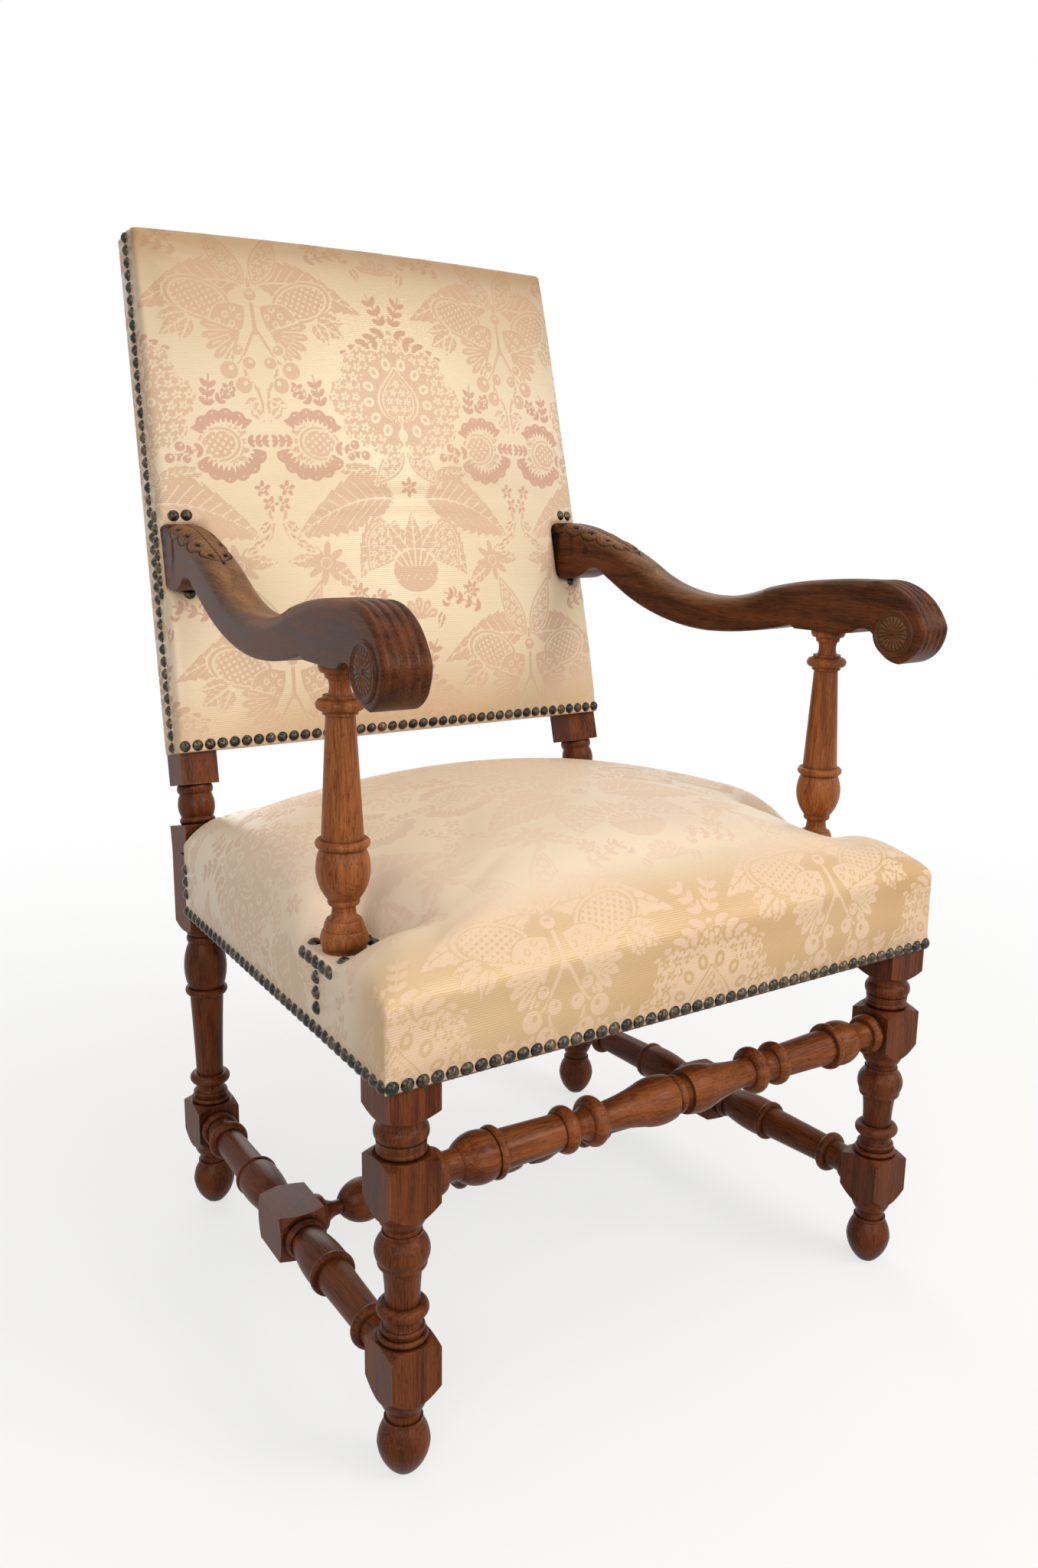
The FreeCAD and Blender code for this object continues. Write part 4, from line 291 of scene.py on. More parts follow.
# Rosette on both cheeks of the scroll: a button, twenty petals and a raised ring, as distance out and height.
ROSETTE_ALONG, ROSETTE_HIGH = -97, 6
PETALS, PETAL_START, PETAL_END = 20, 4.5, 17.0
ROSETTE = [
    (0, 2.4), (1.6, 2.3), (3, 1.6), (4, 1.0), (6, 1.4), (8, 1.7), (10, 1.9), (12, 1.9), (14, 1.8), (16, 1.5),
    (17.6, 0.8), (18.6, 0.3), (19.6, 1.2), (20.8, 2.2), (22.2, 2.4), (23.4, 1.8), (24.2, 0.6), (24.5, -0.6),
]


def carve_arm(side):
    """One arm as a mesh in the chair's frame."""
    shape = bmesh.new()
    order = shape.verts.layers.int.new("order")
    wear_and_highlight = shape.verts.layers.float.new("wear_and_highlight")
    cut = shape.verts.layers.float.new("cut")
    first = [shape.verts.new((0, 0, 0)) for _ in line]
    for i, vert in enumerate(first):
        vert[order] = i
    loop = [shape.edges.new((first[i - 1], first[i])) for i in range(len(first))]
    rings, edges = [first], loop
    for _ in stations[1:]:
        ring, edges = grow(shape, edges)
        rings.append(ring)
    for (sign, flat_share, turn), ring in zip(stations, rings):
        for vert in ring:
            i = vert[order]
            r = rounding[i]
            flat = (ARM_HALF - r) * flat_share
            across, girth = sign * (flat + r * math.sin(turn)), sign * (flat + r * turn)
            sink = r * (1 - math.cos(turn))
            if reeded[i] > 0:
                reed = (across / ARM_HALF + 1) / 2 * REEDS
                near = abs(reed - math.floor(reed) - 0.5) * 2
                sink += REED_DEEP * reeded[i] * near ** 3.5 * math.cos(turn)
            if from_post[i] < 1.1 * LEAF_LONG:
                depth = leaf_depth(from_post[i], girth)
                sink += depth
                # The leaf's carved hollows marked dark: wax and painted shade.
                vert[cut] = min(1.0, max(0.0, depth) / 1.1)
            along, height = line[i] + inward[i] * sink
            vert.co = (along, across, height)
            vert[wear_and_highlight] = HANDLED.get(part_of[i][0], 0.0) * math.cos(turn) * (1 - vert[cut])
    for ring_edges in (loop, edges):
        bmesh.ops.triangle_fill(shape, edges=ring_edges, use_beauty=True)
    for cheek in (-1, 1):
        before = set(shape.verts)
        spokes = [shape.verts.new((0, cheek * (ARM_HALF + rise), radius)) for radius, rise in ROSETTE]
        ribs = [shape.edges.new(pair) for pair in zip(spokes, spokes[1:])]
        bmesh.ops.spin(
            shape, geom=spokes + ribs, cent=(0, 0, 0), axis=(0, 1, 0), angle=2 * math.pi, steps=120, use_merge=True,
        )
        for vert in set(shape.verts) - before:
            radius = math.hypot(vert.co.x, vert.co.z)
            if PETAL_START < radius < PETAL_END:
                groove = 1 - abs(math.sin(PETALS / 2 * math.atan2(vert.co.z, vert.co.x))) ** 0.6
                share = (radius - PETAL_START) / (PETAL_END - PETAL_START)
                vert.co.y -= cheek * 1.7 * groove * math.sin(share * math.pi) ** 0.5
                # Grooves marked dark, wax and painted shade; the petal ridges marked paler, rubbing and painted
                # highlight.
                vert[cut] = 0.7 * groove
                vert[wear_and_highlight] = 0.9 * (1 - groove)
            elif PETAL_END < radius < 19.0 or radius > 24.0:
                # The rings round the petals and round the rosette marked dark: wax and painted shade.
                vert[cut] = 0.75
            vert.co.x += ROSETTE_ALONG
            vert.co.z += ROSETTE_HIGH
    bmesh.ops.remove_doubles(shape, verts=shape.verts, dist=0.01)
    for vert in shape.verts:
        along, across, height = vert.co
        x = ARM_FOOT[0] - along * math.sin(ARM_SLANT) + across * math.cos(ARM_SLANT)
        y = ARM_FOOT[1] + along * math.cos(ARM_SLANT) + across * math.sin(ARM_SLANT)
        vert.co = Vector((side * x, y, ARM_FOOT[2] + height)) * 0.001
    bmesh.ops.recalc_face_normals(shape, faces=shape.faces)
    return shape


def make_object(name, shape, finish):
    """A finished mesh as an object in the scene."""
    mesh = bpy.data.meshes.new(name)
    shape.to_mesh(mesh)
    shape.free()
    mesh.materials.append(finish)
    made = bpy.data.objects.new(name, mesh)
    bpy.context.scene.collection.objects.link(made)
    return made


def make_piece(name, shape, finish, replaced):
    """A finished mesh as a piece of the chair."""
    made = make_object(name, shape, finish)
    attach(made, "root")
    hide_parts(*replaced)
    return made


ARM_TONES = ("#693819", "#391B0A", "#120703", "#AD8358", 0.006, 0.25)
PEG_TONES = ("#33190F", "#1E0E08", "#120804", "#4A2A1A", 0.006, 0.25)
walnut_arm = waxed_walnut("waxed_walnut_arm", ALONG_Y, *ARM_TONES)
for side_name, side in (("left", -1), ("right", 1)):
    arm = make_piece(f"carved_arm_{side_name}", carve_arm(side), walnut_arm, [f"arm_{side_name}"])
    arm.data.shade_smooth()
refinish(waxed_walnut("dark_peg", ALONG_X, *PEG_TONES), "arm_pegs")


# Seat webbing and hessian: jute bands interlaced across the rails, with open jute cloth over them to carry the
# stuffing. Seen only from below.
def islands(name, axes):
    """The low and high corners of each separate solid of a CAD node, along three axes."""
    shape = bmesh.new()
    shape.from_mesh(nodes[name].data)
    bmesh.ops.remove_doubles(shape, verts=shape.verts, dist=1e-5)
    found, left = [], set(shape.verts)
    while left:
        reached, fringe = set(), {left.pop()}
        while fringe:
            reached |= fringe
            fringe = {e.other_vert(v) for v in fringe for e in v.link_edges} - reached
        left -= reached
        places = np.array([[v.co.dot(a) for a in axes] for v in reached])
        found.append((places.min(0), places.max(0)))
    shape.free()
    return found


def jute(name, light, dark, pitch):
    """Coarse jute: two sets of threads over and under each other, hairy and uneven."""
    made, tree, shader = new_material(name)
    place = add(tree, "ShaderNodeTexCoord", {}, "Object")
    threads = {"Vector": place, "Scale": math.pi / 10 / pitch, "Distortion": 0.8, "Detail": 2.0}
    warp, weft = [add(tree, "ShaderNodeTexWave", threads, 1, bands_direction=way) for way in ("X", "Y")]
    weave = add(tree, "ShaderNodeMath", {0: warp, 1: weft}, operation="MULTIPLY")
    hairs = add(tree, "ShaderNodeTexNoise", {"Vector": place, "Scale": 260, "Detail": 4})
    both = add(tree, "ShaderNodeMix", {0: 0.5, 2: weave, 3: hairs})
    colour = add(tree, "ShaderNodeMix", {0: both, 6: linear(dark), 7: linear(light)}, 2, data_type="RGBA")
    bump = add(tree, "ShaderNodeBump", {"Strength": 0.6, "Distance": 0.0008, "Height": both})
    feed(tree, shader, {"Base Color": colour, "Normal": bump, "Roughness": 0.9})
    return made


# Bands: spacing of the mesh, how far one rises over another and over what length, and thickness, in metres.
BAND_STEP, BAND_RISE, BAND_BEND, BAND_THICK = 0.008, 0.0011, 0.03, 0.0014


def interlaced(name, axes):
    """Bands woven over and under each other, where a CAD node has two flat layers of them."""
    shape = bmesh.new()
    boxes = islands(name, axes)
    level = sum(low[2] + high[2] for low, high in boxes) / 2 / len(boxes)
    ways = [[], []]
    for low, high in boxes:
        ways[0 if (high - low)[0] > (high - low)[1] else 1].append((low, high))
    for way, bands in enumerate(ways):
        crossings = [((low + high) / 2)[way] for low, high in sorted(ways[1 - way], key=lambda b: b[0][way])]
        for number, (low, high) in enumerate(sorted(bands, key=lambda b: b[0][1 - way])):
            size, middle = high - low, (low + high) / 2
            steps = [8, 8]
            steps[way] = max(8, round(size[way] / BAND_STEP))
            band = bmesh.ops.create_grid(shape, x_segments=steps[0], y_segments=steps[1], size=0.5)["verts"]
            for vert in band:
                spot = [middle[0] + vert.co.x * size[0], middle[1] + vert.co.y * size[1]]
                lift = 0.0
                for k, crossing in enumerate(crossings):
                    over = 1 if (number + k + way) % 2 else -1
                    lift += over * BAND_RISE * math.exp(-((spot[way] - crossing) / BAND_BEND) ** 2)
                vert.co = axes[0] * spot[0] + axes[1] * spot[1] + axes[2] * (level + lift)
    bmesh.ops.recalc_face_normals(shape, faces=shape.faces)
    bmesh.ops.solidify(shape, geom=shape.faces, thickness=BAND_THICK)
    return shape


jute_band = jute("jute_webbing", "#B08A58", "#6B4A28", 0.0022)
jute_cloth = jute("hessian", "#B4935F", "#5E4526", 0.0028)
world_axes = (Vector((1, 0, 0)), Vector((0, 1, 0)), Vector((0, 0, 1)))
make_piece("seat_webbing_bands", interlaced("seat_webbing", world_axes), jute_band, ["seat_webbing"])


# Seat and back covers: silk damask drawn over hair stuffing and nailed to the rails and posts. The ground is a
# glossy cream satin and the flowers are a duller rose weft, so the two change places as the light moves.
# The woven repeat, the clear ground round each figure and how far a figure may reach from its place, in mm.
REPEAT_WIDE, REPEAT_HIGH = 326.0, 407.0
CLEAR_OUTLINE, MOTIF_REACH = 1.7, 150
# Depths in mm: of the ground, far outside a figure, and where a drawing has no line.
GROUND, OUTSIDE, FAR = -3.0, -99.0, 9


def nearest_line(value, pitch):
    """Distance to the nearest of evenly spaced lines."""
    return np.abs((value / pitch + 0.5) % 1.0 - 0.5) * pitch


def florets(s, q, pitch):
    """Rows of small five-petalled flowers: the distance out from the nearest petal in mm."""
    row = np.round(s / (pitch * 0.87))
    ds = s - row * pitch * 0.87
    moved = q + (row % 2) * pitch / 2
    column = np.round(moved / pitch)
    dq = moved - column * pitch
    r, turn = np.hypot(ds, dq), np.arctan2(dq, ds) + 1.7 * row + 2.3 * column
    return np.maximum(nearest_line(turn, 2 * math.pi / 5) * r - 0.11 * pitch, np.abs(r - 0.28 * pitch) - 0.17 * pitch)


def least(*depths):
    """The smallest of several depths at each place."""
    return np.minimum.reduce(depths)


def blade(s, q, long, wide, bend, power):
    """A bent blade: the share along it, the place across it, its half width and the depth inside its edge."""
    share = np.clip(s / long, 0, 1)
    q = q - bend * share ** 2
    half = wide * np.sin(math.pi * share ** power)
    return share, q, half, least(half - np.abs(q), s, long - s)


def leaf(s, q, long, wide, bend, teeth):
    """A saw-edged leaf with a rib and veins: its outline and its drawing, as depths in mm."""
    share, q, half, inside = blade(s, q, long, wide * (1 - 0.2 * ((s / teeth) % 1.0)), bend, 0.8)
    veins = np.where(np.abs(q) < half * 0.8, nearest_line(s - 0.9 * np.abs(q), teeth) - 0.9, FAR)
    rib = np.where(share < 0.92, np.abs(q) - 1.1, FAR)
    return inside, least(inside, veins, rib)


def pod(s, q, long, wide, bend):
    """A smooth petal with a line inside its edge and florets in its middle."""
    _, q, _, inside = blade(s, q, long, wide, bend, 0.75)
    line = np.abs(inside - 3.4) - 0.9
    middle = np.where(inside > 5, florets(s, q, 11.0), FAR)
    return inside, least(inside, line, middle)


def dotted(s, q, long, wide, bend):
    """A smooth leaf with rings along it."""
    _, q, _, inside = blade(s, q, long, wide, bend, 0.9)
    rings = np.abs(np.hypot(nearest_line(s, 12), nearest_line(q + 6, 12)) - 3.0) - 1.0
    return inside, np.minimum(inside, np.where(inside > 4, rings, FAR))


def pomegranate(s, q):
    """The great fruit on the axis: lobes full of florets, a ring of eyes and a drop at its heart."""
    q = np.abs(q)
    inside = np.full(s.shape, OUTSIDE)
    for up, out, radius in ((28, 38, 30), (-2, 62, 25), (-34, 52, 24), (-48, 22, 22), (8, 0, 50), (60, 0, 13)):
        scallop = 1 + 0.06 * np.sin(9 * np.arctan2(q - out, s - up))
        inside = np.maximum(inside, radius * scallop - np.hypot(s - up, q - out))
    below = np.clip(1 - ((s + 4) / 25) ** 2, 0, 1) ** 0.5
    above = np.cos(np.clip((s + 4) / 43, 0, 1) * math.pi / 2) ** 1.3
    drop = 26 * np.where(s < -4, below, above) - q
    ring, turn = np.hypot((s + 1) / 1.1, q), np.arctan2(q, s + 1)
    beside = nearest_line(turn + math.pi / 13, 2 * math.pi / 13) * ring
    eyes = (np.hypot((ring - 39) / 7, beside / 5.6) - 1) * 5
    seeds = (1 - np.hypot((ring - 39) / 3.6, beside / 2.2)) * 2.2
    return inside, least(
        inside,
        np.where(np.abs(ring - 39) < 9, np.maximum(eyes, seeds), FAR),
        np.where(ring > 48, florets(s, q, 13.5), FAR),
        np.where(s < 39, np.minimum(np.abs(drop) - 1.3, np.abs(drop - 6) - 1.0), FAR),
        np.where(drop > 8.5, florets(s + 3, q, 11.5), FAR),
    )


def bulb(s, q, tall, wide):
    """A round fruit with a rayed crown and a zigzag band."""
    inside = (1 - np.hypot(s / tall, q / wide)) * min(tall, wide)
    zigzag = np.abs(s + 0.3 * tall + 1.6 * (nearest_line(q, 10) - 2.5)) - 0.9
    from_foot = s + 0.5 * tall
    rays = nearest_line(np.arctan2(q, from_foot), 0.26) * np.hypot(q, from_foot) - 1.1
    return inside, least(inside, zigzag, np.where(s > 0.15 * tall, rays, FAR))


def fan(s, q, radius, spread, ribs):
    """A half-open flower: petals in a fan with open rays between them."""
    r, turn = np.hypot(s, q), np.arctan2(q, s)
    beside = nearest_line(turn, 2 * spread / ribs)
    inside = np.minimum(radius * (1 - 0.25 * (beside / (spread / ribs)) ** 2) - r, (spread - np.abs(turn)) * r)
    between = np.where(r > 0.3 * radius, (spread / ribs - beside) * r - 0.8, FAR)
    middle = np.where((r > 0.55 * radius) & (r < 0.85 * radius), beside * r - 0.9, FAR)
    return inside, least(inside, between, middle)


def fringe(s, q, radius, wide, spread, scallops):
    """Part of a ring of petals, scalloped outside and toothed inside, with a dot in each scallop."""
    r, turn = np.hypot(s, q), np.arctan2(q, s)
    wave, teeth = np.abs(np.sin(scallops * turn)), np.abs(np.sin(2 * scallops * turn))
    inside = np.minimum(radius * (0.92 + 0.08 * wave) - r, r - radius + wide * (0.55 + 0.45 * teeth))
    inside = np.minimum(inside, (spread - np.abs(turn)) * r)
    dots = np.hypot(r - 0.9 * radius, nearest_line(turn + math.pi / scallops / 2, math.pi / scallops) * r) - 1.3
    return inside, np.minimum(inside, dots)


def daisy(s, q, radius, petals):
    """An open flower with pointed petals and a ringed heart."""
    r, turn = np.hypot(s, q), np.arctan2(q, s)
    edge = radius * (0.36 + 0.64 * np.abs(np.cos(petals * turn / 2)) ** 1.3)
    return edge - r, np.minimum(edge - r, np.abs(r - 0.24 * radius) - 0.8)


def sprig(s, q, long, step, size):
    """A stalk with pairs of small leaves."""
    ds = s - np.clip(np.floor(s / step), 0, long // step - 1) * step
    f, g = 0.72 * ds + 0.69 * np.abs(q), 0.72 * np.abs(q) - 0.69 * ds
    leaves = (1 - np.hypot((f - 0.62 * size) / (0.62 * size), g / (0.29 * size))) * 0.29 * size
    inside = np.maximum(leaves, least(1.0 - np.abs(q), s, long - s))
    return inside, inside


def berry(s, q, radius):
    """A berry or a bud with a point of light."""
    inside = radius - np.hypot(s, q)
    return inside, np.minimum(inside, np.hypot(s - 0.25 * radius, q - 0.25 * radius) - 0.3 * radius)


def fruit(s, q, long, wide):
    """A seeded fruit: a rim, and a net of small open lozenges."""
    inside = (1 - np.hypot(s / long, q / wide)) * wide
    net = np.maximum(np.abs(((s + q) / 9) % 1 - 0.5), np.abs(((s - q) / 9) % 1 - 0.5))
    net = np.where(inside > 5.5, (net - 0.27) * 9, FAR)
    return inside, least(inside, net, np.abs(inside - 3.6) - 1.0)


# Half of the repeat, from the middle of the pomegranate at 0 to the middle of the vine at 163: drawing, place, angle
# and sizes in mm, and True if it is woven in the deeper rose. Later ones lie over earlier ones.
MOTIFS = [
    (leaf, (30, 200), 22, (66, 11, -12, 8)),
    (leaf, (20, 178), 10, (118, 37, -66, 11)),
    (leaf, (24, 152), -34, (76, 24, -26, 10)),
    (pod, (22, 154), -62, (70, 24, 8)),
    (pod, (2, 232), -36, (56, 13, -6)),
    (leaf, (2, 112), 58, (50, 13, -6, 9)),
    (leaf, (0, 108), 90, (56, 12, 0, 9)),
    (daisy, (0, 192), 90, (12, 6), True),
    (bulb, (0, 95), 90, (25, 30)),
    (fan, (0, 38), 90, (26, 1.5, 5)),
    (fan, (0, 350), 90, (28, 1.5, 7)),
    (sprig, (8, 374), -34, (72, 13, 13), True),
    (sprig, (6, 384), 66, (40, 12, 11), True),
    (pomegranate, (0, 296), 90, ()),
    (leaf, (154, 14), 165, (112, 31, 60, 11)),
    (fruit, (104, -4), 160, (37, 23)),
    (dotted, (154, -12), 214, (58, 19, 8)),
    (leaf, (90, -24), 172, (34, 10, 6, 8)),
    (leaf, (90, -24), 212, (38, 11, 0, 8)),
    (leaf, (92, -26), 250, (30, 9, -4, 8)),
    (fan, (146, 367), 206, (44, 0.8, 5)),
    (pod, (158, 14), 122, (84, 15, -8)),
    (leaf, (108, 100), 205, (40, 11, 6, 9)),
    (leaf, (118, 108), 14, (40, 9, -8, 8)),
    (daisy, (113, 107), 10, (25, 8)),
    (fan, (92, 241), 4, (48, 0.8, 7)),
    (fruit, (106, 241), 8, (24, 19)),
    (fringe, (114, 238), 96, (43, 17, 0.95, 8), True),
    (fringe, (116, 244), -82, (45, 19, 1.15, 8), True),
    (sprig, (138, 244), 0, (24, 8, 8), True),
    (sprig, (88, 236), 188, (40, 11, 9), True),
    (berry, (64, 240), 0, (5.5,), True),
    (berry, (52, 228), 0, (5.5,), True),
    (berry, (70, 226), 0, (4.5,), True),
    (sprig, (98, 284), 80, (36, 10, 10), True),
    (sprig, (110, 288), 40, (22, 8, 8), True),
    (daisy, (126, 302), 0, (10, 5), True),
    (berry, (142, 306), 0, (9,)),
    (berry, (128, 323), 0, (10,)),
    (berry, (151, 331), 0, (7,)),
    (berry, (140, 346), 0, (6,)),
    (leaf, (157, 290), 205, (22, 7, 0, 8)),
    (leaf, (157, 268), 130, (20, 6, 0, 8)),
    (daisy, (156, 175), 0, (9.5, 5), True),
    (daisy, (149, 192), 20, (9.5, 5), True),
    (leaf, (153, 144), 205, (26, 6, 4, 8), True),
    (leaf, (146, 133), 200, (22, 5, 4, 8), True),
    (leaf, (155, 155), 212, (22, 5, 4, 8), True),
    (leaf, (138, 126), 190, (18, 4.5, 4, 8), True),
    (daisy, (76, 71), 0, (13, 7), True),
    (berry, (48, 70), 0, (6,), True),
    (berry, (38, 57), 0, (5.5,), True),
    (sprig, (88, 50), 160, (56, 14, 9), True),
    (leaf, (34, 46), 238, (22, 6, 4, 8), True),
    (berry, (163, 2), 0, (7,)),
]
# Thin stalks through points, and how wide they are.
STALKS = [
    ([(118, 118), (138, 126), (152, 138), (157, 152), (154, 164), (156, 175)], 2.0),
    ([(160, 366), (152, 350), (143, 334), (146, 318), (157, 300), (160, 284), (158, 266)], 1.7),
    ([(146, 318), (140, 308)], 1.4),
    ([(143, 334), (130, 324)], 1.4),
    ([(163, 20), (163, -30), (162, -42)], 2.2),
]


def stalk(s, q, points, wide):
    """A curling stalk, as a depth inside it."""
    best = np.full(s.shape, OUTSIDE)
    for (au, av), (bu, bv) in zip(points, points[1:]):
        eu, ev = bu - au, bv - av
        share = np.clip(((s - au) * eu + (q - av) * ev) / (eu * eu + ev * ev), 0, 1)
        best = np.maximum(best, wide - np.hypot(s - au - share * eu, q - av - share * ev))
    return best


def weave_figures(mesh):
    """Marks each point of a cover with the drawing woven there: depth in the figures, and in the deeper rose."""
    cloth = np.zeros(len(mesh.vertices) * 3, np.float32)
    mesh.attributes["cloth"].data.foreach_get("vector", cloth)
    cloth = cloth.reshape(-1, 3).astype(float)
    u = np.abs((cloth[:, 0] + REPEAT_WIDE / 2) % REPEAT_WIDE - REPEAT_WIDE / 2)
    figure, deep = np.full(len(u), GROUND), np.full(len(u), GROUND)
    for points, wide in STALKS:
        v = (cloth[:, 1] - points[0][1] + REPEAT_HIGH / 2) % REPEAT_HIGH - REPEAT_HIGH / 2 + points[0][1]
        figure = np.maximum(figure, stalk(u, v, points, wide))
    for drawing, place, angle, sizes, *deeper in MOTIFS:
        c, s = math.cos(math.radians(angle)), math.sin(math.radians(angle))
        for spot, way in ((place[0], 1), (-place[0], -1), (REPEAT_WIDE - place[0], -1)):
            du = u - spot
            dv = (cloth[:, 1] - place[1] + REPEAT_HIGH / 2) % REPEAT_HIGH - REPEAT_HIGH / 2
            near = np.nonzero(np.hypot(du, dv) < MOTIF_REACH)[0]
            du, dv = du[near] * way, dv[near]
            outline, ink = drawing(du * c + dv * s, dv * c - du * s, *sizes)
            over = near[outline > -CLEAR_OUTLINE]
            ink = ink[outline > -CLEAR_OUTLINE]
            figure[over] = GROUND if deeper else ink
            deep[over] = ink if deeper else GROUND
    for name, values in (("figure", figure), ("deep", deep)):
        made = mesh.attributes.new(name, "FLOAT", "POINT")
        made.data.foreach_set("value", np.clip(values, GROUND, -GROUND).astype(np.float32))


def silk_damask():
    """Damask: satin ground and weft figures, ribbed along the weft, with a soft sheen."""
    made, tree, shader = new_material("silk_damask")
    marks = ("figure", "deep", "aged_and_shaded", "worn", "painted_brown_shade")
    figure, deep, aged_and_shaded, worn, painted_brown_shade = [
        add(tree, "ShaderNodeAttribute", {}, "Fac", attribute_name=mark) for mark in marks
    ]
    cloth = add(tree, "ShaderNodeAttribute", {}, "Vector", attribute_name="cloth")
    drawn, drawn_deep = [
        add(
            tree, "ShaderNodeMapRange", {"Value": depth, "From Min": -0.5, "From Max": 0.5},
            interpolation_type="SMOOTHSTEP",
        ) for depth in (figure, deep)
    ]
    # Figures are woven in small cells about 2.4 mm across, with the ground showing between them.
    cells = add(
        tree, "ShaderNodeTexVoronoi", {"Vector": cloth, "Scale": 0.42, "Randomness": 0.2}, "Distance",
        feature="DISTANCE_TO_EDGE",
    )
    closed = add(tree, "ShaderNodeMapRange", {"Value": cells, "From Max": 0.2, "To Min": 0.6, "To Max": 1.0})
    drawn = add(tree, "ShaderNodeMath", {0: drawn, 1: closed}, operation="MULTIPLY")
    # Weft ribs 2.2 mm apart, about three times the real spacing so that they show, and uneven slubs along them.
    ribs = add(
        tree, "ShaderNodeTexWave", {"Vector": cloth, "Scale": math.pi / 10 / 2.2, "Distortion": 0.4, "Detail": 1.0}, 1,
        bands_direction="Y",
    )
    long_slub = add(tree, "ShaderNodeMapping", {"Vector": cloth, "Scale": (0.03, 0.55, 1)})
    slubs = add(tree, "ShaderNodeTexNoise", {"Vector": long_slub, "Scale": 1, "Detail": 2})
    # Slow fading of the silk over about 180 mm, and painted shade: darker gold with paler figures
    # where the cover rolls over its edges.
    slow = add(tree, "ShaderNodeTexNoise", {"Vector": cloth, "Scale": 0.0055, "Detail": 2})
    faded = add(tree, "ShaderNodeMath", {0: slow, 1: 0.5}, operation="MULTIPLY")
    aged_and_shaded = add(tree, "ShaderNodeMath", {0: aged_and_shaded, 1: faded}, operation="ADD", use_clamp=True)
    sooner = add(tree, "ShaderNodeMath", {0: aged_and_shaded, 1: 1.7}, operation="MULTIPLY", use_clamp=True)
    colour, rose, dark_rose = [
        add(tree, "ShaderNodeMix", {0: age_and_shade, 6: linear(new), 7: linear(old)}, 2, data_type="RGBA")
        for age_and_shade, new, old in (
            (aged_and_shaded, "#F8E7CA", "#CBA474"), (aged_and_shaded, "#D6AF95", "#E8C9A9"), (sooner, "#C9998A", "#E2C0A0"),
        )
    ]
    # Over the ground lie the figures. The seat's top is paler with its figures faded, partly worn by sitting and
    # partly painted sheen; the top of the back is darker brown, painted shade; and each rib of the weft is a little
    # darker.
    thread = add(tree, "ShaderNodeMapRange", {"Value": ribs, "To Min": 0.0, "To Max": 0.1})
    for share, over in (
        (drawn, rose), (drawn_deep, dark_rose), (worn, linear("#F2DCC4")), (painted_brown_shade, linear("#98714A")),
        (thread, linear("#9A7448")),
    ):
        colour = add(tree, "ShaderNodeMix", {0: share, 6: colour, 7: over}, 2, data_type="RGBA")
    either = add(tree, "ShaderNodeMath", {0: drawn, 1: drawn_deep}, operation="MAXIMUM")
    rough = add(tree, "ShaderNodeMapRange", {"Value": either, "To Min": 0.3, "To Max": 0.6})
    raised = add(tree, "ShaderNodeMath", {0: either, 1: 0.6, 2: ribs}, operation="MULTIPLY_ADD")
    raised = add(tree, "ShaderNodeMath", {0: slubs, 1: 0.8, 2: raised}, operation="MULTIPLY_ADD")
    bump = add(tree, "ShaderNodeBump", {"Strength": 0.25, "Distance": 0.0004, "Height": raised})
    feed(tree, shader, {"Base Color": colour, "Roughness": rough, "Normal": bump})
    feed(tree, shader, {"Specular IOR Level": 0.6, "Specular Tint": linear("#FFE8BE")})
    feed(tree, shader, {"Sheen Weight": 0.3, "Sheen Roughness": 0.4, "Sheen Tint": linear("#FFE9C4")})
    return made


damask = silk_damask()


def ray_target(name):
    """A CAD node's surface, to lay cloth on."""
    mesh = nodes[name].data
    return BVHTree.FromPolygons([v.co.copy() for v in mesh.vertices], [list(p.vertices) for p in mesh.polygons])


# A panel's edges, with the way that each falls: across and up.
NEAR, FURTHER, LEFT, RIGHT = 1, 2, 3, 4
SIDES = {NEAR: (0, -1), FURTHER: (0, 1), LEFT: (-1, 0), RIGHT: (1, 0)}
# How far the cloth is turned under the rails.
TURNED_UNDER = 0.012


